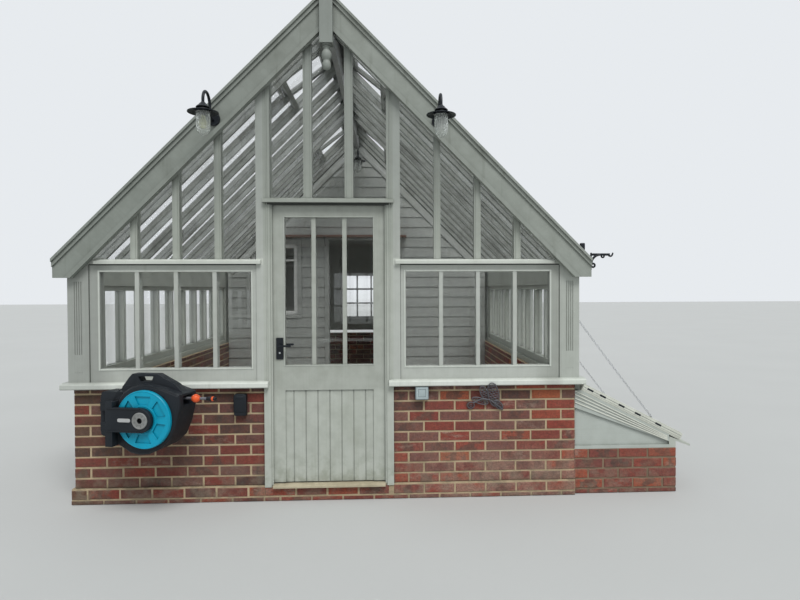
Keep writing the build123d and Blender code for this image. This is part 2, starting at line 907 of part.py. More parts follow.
def make_roof_bars():
    bars = []
    trimmers = []
    for i in range(bays + 1):
        if i in vent_middle_bars():
            bars.append(roof_bar(i, vent_bottom))
        else:
            bars.append(roof_bar(i))
    for first in vent_first_bars:
        y0 = bar_centre(first) + bar_width / 2 + seat_gap
        y1 = bar_centre(first + vent_bays) - bar_width / 2 - seat_gap
        u1 = vent_bottom - seat_gap
        trimmer = on_right_slope(block(u1 - trimmer_width, u1, y0, y1, -glass_thickness - bar_depth * 0.8,
                                       -glass_thickness))
        trimmers.append(trimmer)
    write("roof_bars", [on_side(shape, side) for side in sides for shape in bars + trimmers])


def make_roof_glass():
    eaves_u = (half_width + eaves_overhang) * run
    ridge_u = ridge_thickness / 2 * run + glass_thickness
    vent_bar = vent_middle_bars()
    panes = []
    for i in range(bays):
        top = ridge_u
        if i in vent_bar or i + 1 in vent_bar:
            top = vent_bottom - trimmer_width
        y0 = bar_centre(i) + bar_nose_width / 2 + seat_gap
        y1 = bar_centre(i + 1) - bar_nose_width / 2 - seat_gap
        panes.append(on_right_slope(block(top, eaves_u, y0, y1, -glass_thickness, 0)))
    write("roof_glass", [on_side(pane, side) for side in sides for pane in panes])


def vent_parts(first):
    """Frame and panes of one vent on the right slope, a little open."""
    y0 = bar_centre(first) - bar_width / 2
    y1 = bar_centre(first + vent_bays) + bar_width / 2
    middle = (y0 + y1) / 2
    low = bar_nose_height + seat_gap
    high = low + vent_thickness
    bottom = vent_bottom + 30
    frame = block(vent_top, bottom, y0, y1, low, high)
    panes = []
    for a, b in ((y0 + vent_rail, middle - window_bar / 2), (middle + window_bar / 2, y1 - vent_rail)):
        frame = frame - block(vent_top + vent_rail, bottom - vent_rail, a, b, low, high)
        pane_low = (low + high - glass_thickness) / 2
        panes.append(block(vent_top + vent_rail + seat_gap, bottom - vent_rail - seat_gap,
                           a + seat_gap, b - seat_gap, pane_low, pane_low + glass_thickness))
    hinge = Axis(origin=(vent_top, 0, low), direction=(0, 1, 0))
    turn = -vent_opening_angle
    frame = on_right_slope(frame.rotate(hinge, turn))
    panes = [on_right_slope(pane.rotate(hinge, turn)) for pane in panes]
    return frame, panes


def make_vents():
    frames = []
    panes = []
    for first in vent_first_bars:
        frame, glass = vent_parts(first)
        for side in sides:
            frames.append(on_side(frame, side))
            panes += [on_side(pane, side) for pane in glass]
    write("roof_vents", frames)
    write("roof_vent_glass", panes)


def make_ridge():
    half = ridge_thickness / 2
    beam = prism_y(
        [
            (-half, roof_apex - ridge_bottom_drop),
            (half, roof_apex - ridge_bottom_drop),
            (half, roof_height(half)),
            (0, roof_apex),
            (-half, roof_height(half)),
        ],
        front_y,
        back_y,
    )
    reach = ridge_cap_reach
    lift = bar_nose_height * run
    cap = prism_y(
        [
            (-reach, roof_height(reach) + lift),
            (0, roof_apex + lift),
            (reach, roof_height(reach) + lift),
            (reach, roof_height(reach) + lift + ridge_cap_thickness * run),
            (0, roof_apex + lift + ridge_cap_thickness * run),
            (-reach, roof_height(reach) + lift + ridge_cap_thickness * run),
        ],
        front_y + frame_depth,
        back_y - frame_depth,
    )
    tongue = block(-half / 2, half / 2, front_y + frame_depth, back_y - frame_depth,
                   roof_apex - half, roof_apex + lift + ridge_cap_thickness)
    roll_z = roof_apex + lift + ridge_cap_thickness * run
    roll = rod((0, front_y + frame_depth, roll_z), (0, back_y - frame_depth, roll_z), ridge_roll_radius)
    write("ridge", joined([beam, tongue, cap, roll]))


def make_gutters():
    top = roof_height(half_width + gutter_radius) - gutter_drop
    x = half_width + gutter_radius + 1
    outer = rod((x, front_y + seat_gap, top), (x, back_y - seat_gap, top), gutter_radius)
    inner_radius = gutter_radius - gutter_wall
    inner = rod((x, front_y + 5, top), (x, back_y - 5, top), inner_radius)
    above = block(x - 100, x + 100, front_y, back_y, top, top + 100)
    gutter = outer - inner - above
    back_strip = block(half_width, x - gutter_radius + gutter_wall, front_y + seat_gap, back_y - seat_gap,
                       top - 20, top)
    gutter = gutter + back_strip
    write("gutters", [on_side(gutter, side) for side in sides])


# Bargeboards and finials

def bargeboard(face, direction):
    """Right bargeboard; direction points from the wall to the open air."""
    long = 1.2 * board_half_span * run
    start = 2 * board_bottom

    def strip(w0, w1, near, far):
        y0, y1 = sorted((face + direction * near, face + direction * far))
        return block(start, long, y0, y1, w0, w1)

    board = strip(board_bottom, board_top, 0, board_thickness)
    capping = strip(board_top, board_top + capping_thickness, -frame_depth / 2, board_thickness + capping_projection)
    bed = strip(board_top - bed_mould_height, board_top, board_thickness, board_thickness + bed_mould_projection)
    lower = strip(board_bottom, board_bottom + lower_mould_height, board_thickness,
                  board_thickness + lower_mould_projection)
    whole = on_right_slope(joined([board, capping, bed, lower]))
    far = 3 * roof_apex
    whole = whole - block(board_half_span, far, -far, far, -far, far)
    whole = whole - block(-far, 0, -far, far, -far, far)
    whole = whole - block(0, far, -far, far, -far, board_end_height)
    return whole


def finial_block(face, direction):
    """Square post in front of the apex where the two boards meet."""
    half = finial_post_width / 2
    inner = face + direction * (board_thickness + finial_projection - finial_post_width)
    y0, y1 = sorted((inner, inner + direction * finial_post_width))
    return -half, half, y0, y1


def finial_room(face, direction):
    """Space that the boards leave for a finial."""
    x0, x1, y0, y1 = finial_block(face, direction)
    room = block(x0, x1, y0, y1, 0, finial_post_top + finial_height)
    centre = (y0 + y1) / 2
    collar = rod((0, centre, finial_post_top - seat_gap), (0, centre, finial_post_top + finial_height),
                 finial_radius + seat_gap)
    return room + collar


def make_boards():
    front_room = finial_room(front_y, -1)
    right = bargeboard(front_y, -1) - front_room
    write("front_bargeboards", [right, mirror(right, about=Plane.YZ)])
    right = bargeboard(back_y, 1) - finial_room(back_y, 1)
    write("back_bargeboards", joined([right, mirror(right, about=Plane.YZ)]))


def finial(face, direction):
    x0, x1, y0, y1 = finial_block(face, direction)
    post = block(x0, x1, y0, y1, finial_post_bottom, finial_post_top)
    post = chamfer(post.edges().filter_by(Axis.Z), 6)
    centre = (y0 + y1) / 2
    ball = pendant_radius
    foot = finial_post_bottom
    pendant = [(0, foot + 5), (0.7 * ball, foot + 5)]
    pendant += [(share * ball, foot - drop * pendant_length) for share, drop in pendant_profile]
    spire = [(0, finial_post_top)]
    spire += [(share * finial_radius, finial_post_top + lift * finial_height) for share, lift in finial_profile]
    turned = []
    for points in (pendant, spire):
        outline = make_face(Polyline(*[(r, 0, z) for r, z in points], close=True))
        turned.append(Pos(0, centre, 0) * revolve(outline, Axis.Z))
    return joined([post] + turned)


def make_finials():
    write("finials", [finial(front_y, -1), finial(back_y, 1)])


# Partition and shed

def even_rows(count):
    """Heights of a window's rows as shares of the clear height."""
    return [1 / count] * count


def sash_window(left, right, bottom, top, face, columns, rows):
    """Sash with bars, and its panes, set in a hole. rows are shares of the height, from the bottom."""
    x0 = left + seat_gap
    x1 = right - seat_gap
    z0 = bottom + seat_gap
    z1 = top - seat_gap
    sash = block(x0, x1, face, face + window_depth, z0, z1)
    glass_face = face + (window_depth - glass_thickness) / 2
    clear_width = x1 - x0 - 2 * shed_window_frame - (columns - 1) * shed_window_bar
    clear_height = z1 - z0 - 2 * shed_window_frame - (len(rows) - 1) * shed_window_bar
    panes = []
    low = z0 + shed_window_frame
    for share in rows:
        high = low + share * clear_height
        for i in range(columns):
            a = x0 + shed_window_frame + i * (clear_width / columns + shed_window_bar)
            b = a + clear_width / columns
            sash = sash - block(a, b, face, face + window_depth, low, high)
            panes.append(block(a + seat_gap, b - seat_gap, glass_face, glass_face + glass_thickness,
                               low + seat_gap, high - seat_gap))
        low = high + shed_window_bar
    return sash, panes


def make_partition():
    under_bar = glass_thickness + bar_depth
    y0 = partition_y
    y1 = partition_y + frame_depth
    inner = half_width - frame_depth
    pieces = []
    for side, edge in ((-1, doorway_left), (1, doorway_right)):
        outline = [
            (side * (brick_inner - seat_gap), floor_thickness),
            (edge, floor_thickness),
            (edge, roof_height(edge, under_bar)),
            (side * (brick_inner - seat_gap), roof_height(brick_inner, under_bar)),
        ]
        pieces.append(prism_y(outline, y0, y1))
    left = doorway_left + seat_gap
    right = doorway_right - seat_gap
    over = prism_y(
        [
            (left, doorway_top),
            (right, doorway_top),
            (right, roof_height(right, under_bar)),
            (0, roof_height(0, under_bar)),
            (left, roof_height(left, under_bar)),
        ],
        y0,
        y1,
    )
    notch = ridge_thickness / 2 + seat_gap
    over = over - block(-notch, notch, y0, y1, roof_apex - ridge_bottom_drop - seat_gap, roof_apex)
    pieces.append(over)
    window_top = partition_window_bottom + partition_window_height
    hole = block(partition_window_left, partition_window_right, y0, y1, partition_window_bottom, window_top)
    pieces[0] = pieces[0] - hole
    write("partition", pieces)
    shelf = block(shelf_left, shelf_right, y0 - shelf_depth, y0, shelf_bottom, shelf_top)
    write("shelf", shelf)
    brackets = []
    thick = shelf_bracket_thickness
    for place in shelf_bracket_places:
        a = place - shelf_bracket_width / 2
        b = place + shelf_bracket_width / 2
        upright = block(a, b, y0 - thick, y0, shelf_bottom - shelf_bracket_height, shelf_bottom)
        arm = block(a, b, y0 - shelf_depth + 20, y0, shelf_bottom - thick, shelf_bottom)
        brace_low = shelf_bottom - shelf_bracket_height + 30
        brace_out = shelf_depth * 0.7
        brace = prism_x(
            [
                (y0 - thick / 2, brace_low),
                (y0 - brace_out, shelf_bottom - thick / 2),
                (y0 - brace_out + 2 * thick, shelf_bottom - thick / 2),
                (y0 - thick / 2, brace_low + 2 * thick),
            ],
            place - thick / 2,
            place + thick / 2,
        )
        brackets.append(joined([upright, arm, brace]))
    write("shelf_brackets", brackets)


def make_shed():
    slab_bottom = shed_roof_thickness - bar_nose_height
    y0 = partition_y + frame_depth
    wall_front = partition_y + seat_gap
    wall_back = back_y - shed_wall_thickness
    walls = []
    roofs = []
    for side in sides:
        low, high = sorted((side * (half_width - shed_wall_thickness + seat_gap), side * half_width))
        walls.append(block(low, high, wall_front, wall_back, sill_top, side_plate_bottom() - seat_gap))
        roof = on_right_slope(block(-2 * slab_bottom, (half_width + eaves_overhang) * run, y0, back_y,
                                    -slab_bottom, bar_nose_height))
        far = 3 * roof_apex
        roof = roof - block(-far, ridge_thickness / 2, -far, far, -far, far)
        roofs.append(on_side(roof, side))
    write("shed_side_walls", walls)
    write("shed_roof", roofs)

    inner = half_width - seat_gap
    outline = [
        (-inner, sill_top),
        (inner, sill_top),
        (inner, roof_height(inner, slab_bottom)),
        (0, roof_height(0, slab_bottom)),
        (-inner, roof_height(inner, slab_bottom)),
    ]
    wall = prism_y(outline, wall_back + seat_gap, back_y)
    notch = ridge_thickness / 2 + seat_gap
    wall = wall - block(-notch, notch, wall_back, back_y, roof_apex - ridge_bottom_drop - seat_gap, roof_apex)
    hole = block(shed_window_left, shed_window_right, wall_back, back_y, shed_window_bottom, shed_window_top)
    wall = wall - hole
    write("shed_back_wall", wall)

    face = wall_back + 15
    sash, panes = sash_window(shed_window_left, shed_window_right, shed_window_bottom, shed_window_top, face,
                              shed_window_columns, even_rows(shed_window_rows))
    share = partition_window_light / (partition_window_height - 2 * shed_window_frame - shed_window_bar)
    window_top = partition_window_bottom + partition_window_height
    inner_sash, inner_panes = sash_window(partition_window_left, partition_window_right, partition_window_bottom,
                                          window_top, partition_y + 15, 1, (1 - share, share))
    write("shed_windows", [sash, inner_sash])
    write("shed_window_glass", panes + inner_panes)


# Lamps

def lamp(x, face, z, direction):
    """Swan-neck lamp: plate, bent tube and shade. direction points away from the wall."""
    plate = rod((x, face, z), (x, face + direction * lamp_plate_thickness, z), lamp_plate_radius)
    far = face + direction * lamp_reach
    near = face + direction * (lamp_reach - 150)
    shade_top = z + shade_lift
    crown = z + lamp_rise
    route = FilletPolyline(
        (x, face + direction * (lamp_plate_thickness - 2), z - 12),
        (x, near, z - 12),
        (x, near, crown),
        (x, far, crown),
        (x, far, shade_top - 4),
        radius=[45, 72, 72],
    )
    start = Plane(origin=route @ 0, z_dir=route % 0)
    tube = sweep(start * Circle(lamp_tube_radius), path=route)
    rim = shade_top - shade_height
    neck = shade_neck_radius
    hat = [
        (0, shade_top), (neck, shade_top), (neck + 8, shade_top - 14), (shade_radius, rim + 5),
        (shade_radius, rim), (shade_radius - shade_wall, rim), (jar_radius + 2, shade_top - 22),
        (0, shade_top - 22),
    ]
    hat_face = make_face(Polyline(*[(r, 0, h) for r, h in hat], close=True))
    shade = Pos(x, far, 0) * revolve(hat_face, Axis.Z)
    return joined([plate, tube, shade])


def lamp_jar(x, face, z, direction):
    """Round glass jar under the shade."""
    far = face + direction * lamp_reach
    top = z + shade_lift - 22 - seat_gap
    r = jar_radius
    low = top - jar_height
    outer = [(0, top), (r, top), (r, low + 30), (r - 10, low + 8), (r - 25, low), (0, low)]
    outer_face = make_face(Polyline(*[(a, 0, h) for a, h in outer], close=True))
    return Pos(x, far, 0) * revolve(outer_face, Axis.Z)


def lamp_places():
    board_face = front_y - board_thickness
    return [
        (-lamp_x, board_face, lamp_z, -1),
        (lamp_x, board_face, lamp_z, -1),
        (inner_lamp_x, partition_y, inner_lamp_z, -1),
    ]


def make_lamps():
    write("lamps", [lamp(*place) for place in lamp_places()])
    write("lamp_jars", [lamp_jar(*place) for place in lamp_places()])


# Boxes and bracket

def wall_box(x0, width, z0, height, depth):
    """Box on the brick face with rounded corners and a stepped lid."""
    body = block(x0, x0 + width, brick_front - depth + box_lid_depth, brick_front, z0, z0 + height)
    body = fillet(body.edges().filter_by(Axis.Y), box_fillet)
    step = 4
    lid = block(x0 + step, x0 + width - step, brick_front - depth, brick_front - depth + box_lid_depth,
                z0 + step, z0 + height - step)
    lid = fillet(lid.edges().filter_by(Axis.Y), box_fillet - step / 2)
    return body + lid


def make_boxes():
    write("socket_box", wall_box(socket_left, socket_width, brick_top - 2 - socket_height,
                                 socket_height, socket_depth))
    write("key_safe", wall_box(key_safe_left, key_safe_width, key_safe_top - key_safe_height,
                               key_safe_height, key_safe_depth))


def make_basket_bracket():
    x = board_half_span
    y = front_y - board_thickness / 2
    half = bracket_bar / 2
    plate = block(x, x + bracket_plate_thickness, y - bracket_plate_width / 2, y + bracket_plate_width / 2,
                  bracket_z - bracket_plate_height / 2, bracket_z + bracket_plate_height / 2)
    arm_z = bracket_z + bracket_plate_height / 2 - half
    arm = rod((x, y, arm_z), (x + bracket_reach, y, arm_z), half)
    tip = rod((x + bracket_reach, y, arm_z - half), (x + bracket_reach, y, arm_z + 30), half)
    ball = Pos(x + bracket_reach, y, arm_z + 34) * Sphere(half * 1.6)
    brace = rod((x + 3, y, bracket_z - 30), (x + bracket_reach * 0.55, y, arm_z), half * 0.8)
    write("basket_bracket", joined([plate, arm, tip, ball, brace]))


# Hose reel

def make_reel():
    pivot_y = brick_front - reel_pivot_stand_off
    back_plate = block(reel_pivot_x - 25, reel_pivot_x + 25, brick_front - 8, brick_front,
                       reel_pin_bottom, reel_pin_top)
    pieces = [back_plate]
    for z in reel_lug_places:
        arm = block(reel_pivot_x - reel_lug_width / 2, reel_pivot_x + reel_lug_width / 2, pivot_y, brick_front - 8,
                    z - reel_lug_height / 2, z + reel_lug_height / 2)
        eye = Pos(reel_pivot_x, pivot_y, z) * Cylinder(reel_lug_width / 2, reel_lug_height)
        pieces += [arm, eye]
    pin = rod((reel_pivot_x, pivot_y, reel_pin_bottom + 10), (reel_pivot_x, pivot_y, reel_pin_top - 10),
              reel_pin_radius)
    pieces.append(pin)
    write("reel_bracket", joined(pieces))

    reel_x = reel_pivot_x + reel_reach
    back = pivot_y - reel_back_gap
    front = back - reel_depth

    def across(outline, out, into):
        """Prism of a reel outline between two depths out from the pivot."""
        return prism_y([(reel_x + a, reel_z + b) for a, b in outline], pivot_y - out, pivot_y - into)

    drum = across(reel_outline, reel_back_gap + reel_depth, reel_back_gap)
    drum = chamfer(drum.faces().sort_by(Axis.Y)[0].edges(), reel_edge)
    grip = across(reel_grip_outline, reel_grip_depths[1], reel_grip_depths[0])
    grip = grip - across(reel_grip_hole, reel_grip_depths[1] + 1, reel_grip_depths[0] - 1)
    mouth = block(reel_x + reel_mouth_reach, reel_x + reel_reach,
                  pivot_y - reel_mouth_depths[1], pivot_y - reel_mouth_depths[0],
                  reel_z + reel_mouth_low, reel_z + reel_mouth_high)
    knuckle_low = reel_lug_places[1] + reel_lug_height / 2 + seat_gap
    knuckle_high = reel_lug_places[0] - reel_lug_height / 2 - 5
    knuckle = rod((reel_pivot_x, pivot_y, knuckle_low), (reel_pivot_x, pivot_y, knuckle_high), reel_lug_width / 2)
    column_right = reel_x - reel_disc_radius - reel_disc_room
    column_left = column_right - reel_column_width
    disc_front = front - reel_disc_thickness
    arm_back = disc_front - reel_arm_gap
    arm_front = arm_back - reel_arm_thickness
    links = []
    for low in (knuckle_low, knuckle_high - reel_knuckle_height):
        links.append(block(reel_pivot_x, column_right, back - 20, pivot_y + 18, low, low + reel_knuckle_height))
    bore = rod((reel_pivot_x, pivot_y, knuckle_low - 1), (reel_pivot_x, pivot_y, knuckle_high + 1),
               reel_pin_radius + reel_pin_clearance)
    column = block(column_left, column_right, arm_front, back, reel_column_low, reel_column_high)
    cups = []
    for low, height, length in zip(reel_cup_lows, reel_cup_heights, reel_cup_lengths):
        cup = block(reel_pivot_x + reel_cup_reach, reel_pivot_x + reel_cup_reach + length,
                    pivot_y - reel_cup_depths[1], pivot_y - reel_cup_depths[0], low, low + height)
        cups.append(fillet(cup.edges().filter_by(Axis.Y), height * 0.22))
    arm = block(column_left + 10, reel_x, arm_front, arm_back, reel_z - reel_arm_radius, reel_z + reel_arm_radius)
    arm_end = rod((reel_x, arm_back, reel_z), (reel_x, arm_front, reel_z), reel_arm_radius)
    hub = rod((reel_x, arm_front + 1, reel_z), (reel_x, arm_front - reel_hub_height, reel_z), reel_hub_radius)
    hub_hole = rod((reel_x, arm_front + reel_arm_thickness * 0.7, reel_z),
                   (reel_x, arm_front - reel_hub_height - 1, reel_z), reel_hub_hole)
    housing = joined([drum, grip, knuckle, column, arm, arm_end, hub] + links + cups) - bore - mouth - hub_hole

    disc = rod((reel_x, front, reel_z), (reel_x, disc_front, reel_z), reel_disc_radius)
    disc = chamfer(disc.edges().filter_by(GeomType.CIRCLE).sort_by(Axis.Y)[0], 6)
    for i in range(reel_pocket_count):
        half_in = reel_pocket_inner_width / 2
        half_out = reel_pocket_outer_width / 2
        pocket = extrude(
            make_face(Polyline((reel_pocket_inner, -half_in), (reel_pocket_outer, -half_out),
                               (reel_pocket_outer, half_out), (reel_pocket_inner, half_in), close=True)),
            amount=reel_pocket_depth,
        )
        angle = 90 + 360 * i / reel_pocket_count
        place = Plane(origin=(reel_x, disc_front, reel_z), x_dir=(1, 0, 0), z_dir=(0, 1, 0)).location
        disc = disc - place * (Rot(0, 0, angle) * pocket)

    stub_y = pivot_y - hose_stub_depth
    stub_start = reel_x + reel_mouth_reach + seat_gap
    stub_end = reel_pivot_x + hose_stub_end
    ball_x = reel_pivot_x + stopper_reach
    ball_half = (stopper_radius ** 2 - hose_stub_radius ** 2) ** 0.5
    near = Polyline((stub_start, 0, 0), (stub_start, 0, hose_stub_radius), (ball_x - ball_half, 0, hose_stub_radius))
    ball = ThreePointArc((ball_x - ball_half, 0, hose_stub_radius), (ball_x, 0, stopper_radius),
                         (ball_x + ball_half, 0, hose_stub_radius))
    far = Polyline(
        (ball_x + ball_half, 0, hose_stub_radius),
        (stub_end - coupling_length, 0, hose_stub_radius),
        (stub_end - coupling_length, 0, coupling_radius),
        (stub_end, 0, coupling_radius),
        (stub_end, 0, 0),
        (stub_start, 0, 0),
    )
    hose_end = Pos(0, stub_y, hose_stub_z) * revolve(make_face(near + ball + far), Axis.X)

    pivot = Axis((reel_pivot_x, pivot_y, 0), (0, 0, 1))
    write("reel_housing", housing.rotate(pivot, -reel_turn))
    write("reel_disc", disc.rotate(pivot, -reel_turn))
    write("hose_end", hose_end.rotate(pivot, -reel_turn))


# Cold frame

lid_plane = Plane(
    origin=(lid_hinge_x, 0, lid_hinge_z),
    x_dir=(cos(radians(lid_slope)), 0, -sin(radians(lid_slope))),
    z_dir=(sin(radians(lid_slope)), 0, cos(radians(lid_slope))),
)
cold_front = brick_front + cold_frame_setback
cold_back = partition_y
cold_outer = brick_half + cold_frame_reach + brick_inset
lid_pitch = (cold_back - cold_front) / lid_count


def under_lid(x, depth=0.0):
    """Height under the lids at x, less a depth square to the lid."""
    down = (lid_thickness + seat_gap + depth) / cos(radians(lid_slope))
    return lid_hinge_z - (x - lid_hinge_x) * tan(radians(lid_slope)) - down


def make_cold_frame():
    plate_top = cold_frame_brick_top + cold_frame_strip
    wall_x = brick_half + seat_gap
    inner = cold_outer - brick_thickness
    front_inner = cold_front + brick_thickness
    back_inner = cold_back - brick_thickness
    walls = [
        block(wall_x, inner - seat_gap, cold_front, front_inner, 0, cold_frame_brick_top),
        block(inner, cold_outer, cold_front, cold_back, 0, cold_frame_brick_top),
        block(wall_x, inner - seat_gap, back_inner, cold_back, 0, cold_frame_brick_top),
    ]
    write("cold_frame_walls", walls)

    low_x = cold_outer - low_rail_width
    cheeks = []
    for face, inwards in ((cold_front, 1), (cold_back, -1)):
        panel_near = face + inwards * (raking_board_thickness - cheek_thickness)
        panel_far = face + inwards * raking_board_thickness
        y0, y1 = sorted((panel_near, panel_far))
        panel = prism_y(
            [
                (wall_x, plate_top),
                (low_x - seat_gap, plate_top),
                (low_x - seat_gap, under_lid(low_x)),
                (lid_hinge_x - 20, under_lid(lid_hinge_x - 20)),
                (wall_x, under_lid(lid_hinge_x - 20)),
            ],
            y0,
            y1,
        )
        y0, y1 = sorted((face, panel_far))
        board = prism_y(
            [
                (wall_x, under_lid(lid_hinge_x - 20) - raking_board_top_height),
                (low_x - seat_gap, under_lid(low_x) - raking_board_low_height),
                (low_x - seat_gap, under_lid(low_x)),
                (lid_hinge_x - 20, under_lid(lid_hinge_x - 20)),
                (wall_x, under_lid(lid_hinge_x - 20)),
            ],
            y0,
            y1,
        )
        strip = block(wall_x, low_x - seat_gap, y0, y1, cold_frame_brick_top, plate_top)
        cheeks.append(joined([panel, board, strip]))
    write("cold_frame_cheeks", cheeks)

    rails = []
    slope = tan(radians(drip_board_slope))
    drip_x0 = low_x + 2
    drip_x1 = cold_outer + drip_board_reach
    drip_top = under_lid(drip_x0) - 12

    def drip_line(x, down=0.0):
        return drip_top - (x - drip_x0) * slope - down

    low_rail = prism_y(
        [
            (low_x, cold_frame_brick_top),
            (cold_outer, cold_frame_brick_top),
            (cold_outer, drip_line(cold_outer, drip_board_thickness)),
            (low_x, drip_line(low_x, drip_board_thickness)),
        ],
        cold_front,
        cold_back,
    )
    drip = prism_y(
        [
            (drip_x0, drip_line(drip_x0, drip_board_thickness)),
            (drip_x1, drip_line(drip_x1, drip_board_thickness)),
            (drip_x1, drip_line(drip_x1)),
            (drip_x0, drip_line(drip_x0)),
        ],
        cold_front,
        cold_back,
    )
    rails.append(joined([low_rail, drip]))
    rail_y0 = cold_front + raking_board_thickness + seat_gap
    rail_y1 = cold_back - raking_board_thickness - seat_gap
    rails.append(block(brick_half, brick_half + hinge_rail_depth, rail_y0, rail_y1,
                       brick_top - seat_gap - hinge_rail_height, brick_top - seat_gap))
    divider_top_x = brick_half + hinge_rail_depth + seat_gap
    for i in range(1, lid_count):
        y = cold_front + i * lid_pitch
        start = max(divider_top_x, lid_hinge_x - 15)
        divider = prism_y(
            [
                (divider_top_x, under_lid(start, divider_depth)),
                (low_x - seat_gap, under_lid(low_x, divider_depth)),
                (low_x - seat_gap, under_lid(low_x)),
                (start, under_lid(start)),
                (divider_top_x, under_lid(start)),
            ],
            y - divider_width / 2,
            y + divider_width / 2,
        )
        rails.append(divider)
    write("cold_frame_rails", rails)


def lid_span(i):
    y0 = cold_front + i * lid_pitch + lid_gap / 2
    return y0, y0 + lid_pitch - lid_gap


def make_lids():
    for i in range(lid_count):
        y0, y1 = lid_span(i)
        start = 4
        lid = block(start, lid_length, y0, y1, -lid_thickness, 0)
        width = (y1 - y0 - 2 * lid_rail - (lid_lights - 1) * lid_bar) / lid_lights
        panes = []
        for j in range(lid_lights):
            a = y0 + lid_rail + j * (width + lid_bar)
            u0 = start + lid_rail
            u1 = lid_length - lid_low_rail
            lid = lid - block(u0, u1, a, a + width, -lid_thickness, 0)
            glass_top = -10
            panes.append(lid_plane.location * block(u0 + seat_gap, u1 - seat_gap, a + seat_gap, a + width - seat_gap,
                                                    glass_top - glass_thickness, glass_top))
        for y in (y0 + (y1 - y0) * 0.2, y0 + (y1 - y0) * 0.8):
            half = lid_knuckle_length / 2
            lid = lid + rod((0, y - half, 0), (0, y + half, 0), lid_knuckle_radius)
        staple_y = bar_centre(chain_bars[i])
        staple = block(chain_lid_place - 12, chain_lid_place + 12, staple_y - 3, staple_y + 3, 0, 8)
        lid = lid + staple
        write(f"lid_{i + 1}", lid_plane.location * lid)
        write(f"lid_glass_{i + 1}", panes)


def make_chains():
    chains = []
    angle = radians(lid_slope)
    for i in range(lid_count):
        y = bar_centre(chain_bars[i])
        low_x = lid_hinge_x + chain_lid_place * cos(angle) + chain_standoff * sin(angle)
        low_z = lid_hinge_z - chain_lid_place * sin(angle) + chain_standoff * cos(angle)
        hook_x = half_width + 20
        hook = rod((half_width, y, chain_hook_z), (hook_x, y, chain_hook_z), 3)
        chain = rod((hook_x, y, chain_hook_z), (low_x, y, low_z), chain_radius)
        chains.append(hook + chain)
    write("lid_chains", chains)


make_masonry()
make_front_frames()
make_gable_bars()
make_front_glass()
make_door_frame()
make_door()
make_handle()
make_side_frames()
make_roof_bars()
make_roof_glass()
make_vents()
make_ridge()
make_gutters()
make_boards()
make_finials()
make_partition()
make_shed()
make_lamps()
make_boxes()
make_basket_bracket()
make_reel()
make_cold_frame()
make_lids()
make_chains()
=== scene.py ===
import math
import random

import bmesh
import bpy
from mathutils import Matrix, Vector


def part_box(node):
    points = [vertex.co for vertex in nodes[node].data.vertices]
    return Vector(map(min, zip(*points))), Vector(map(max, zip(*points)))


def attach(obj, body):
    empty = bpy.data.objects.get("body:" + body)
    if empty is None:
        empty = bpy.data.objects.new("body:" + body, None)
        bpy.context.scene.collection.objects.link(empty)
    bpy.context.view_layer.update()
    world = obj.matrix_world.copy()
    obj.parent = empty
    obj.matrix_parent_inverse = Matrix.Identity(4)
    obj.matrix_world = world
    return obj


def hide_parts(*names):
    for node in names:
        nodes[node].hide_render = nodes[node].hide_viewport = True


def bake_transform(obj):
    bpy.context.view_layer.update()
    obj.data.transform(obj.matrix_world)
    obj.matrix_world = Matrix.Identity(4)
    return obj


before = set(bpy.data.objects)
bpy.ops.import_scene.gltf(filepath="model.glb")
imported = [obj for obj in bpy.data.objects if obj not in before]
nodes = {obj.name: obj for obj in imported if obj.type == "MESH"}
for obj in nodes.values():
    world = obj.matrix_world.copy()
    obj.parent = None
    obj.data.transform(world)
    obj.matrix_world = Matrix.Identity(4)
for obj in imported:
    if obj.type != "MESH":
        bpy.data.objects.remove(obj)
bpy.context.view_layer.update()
scene = bpy.context.scene
rng = random.Random(4127)


# small hand tools used by every piece

def clearSelection():
    if bpy.context.mode != "OBJECT":
        bpy.ops.object.mode_set(mode="OBJECT")
    bpy.ops.object.select_all(action="DESELECT")


def makeActive(piece):
    clearSelection()
    piece.select_set(True)
    bpy.context.view_layer.objects.active = piece


def named(name):  # the primitive that was just added
    piece = bpy.context.active_object
    piece.name = name
    return piece


def settle(piece):  # place, turn and scale go into the mesh
    makeActive(piece)
    bpy.ops.object.transform_apply(location=True, rotation=True, scale=True)
    return piece


def addBox(name, low, high):
    clearSelection()
    middle = [(a + b) / 2 for a, b in zip(low, high)]
    bpy.ops.mesh.primitive_cube_add(size=1, location=middle)
    piece = named(name)
    piece.scale = [b - a for a, b in zip(low, high)]
    return settle(piece)


def sideBox(name, side, near, far, front, back, low, high):  # side is -1 on the left and 1 on the right
    left, right = sorted((side * near, side * far))
    return addBox(name, (left, front, low), (right, back, high))


def addRod(name, start, end, radius, sides=16, endRadius=None):
    clearSelection()
    start, end = Vector(start), Vector(end)
    way = end - start
    size = {"vertices": sides, "depth": way.length, "location": (start + end) / 2}
    if endRadius is None:
        bpy.ops.mesh.primitive_cylinder_add(radius=radius, **size)
    else:
        bpy.ops.mesh.primitive_cone_add(radius1=radius, radius2=endRadius, **size)
    piece = named(name)
    piece.rotation_euler = way.to_track_quat("Z", "Y").to_euler()
    return settle(piece)


def openMesh(piece, kind="FACE", action="DESELECT"):
    makeActive(piece)
    bpy.ops.object.mode_set(mode="EDIT")
    bpy.ops.mesh.select_mode(type=kind)
    bpy.ops.mesh.select_all(action=action)


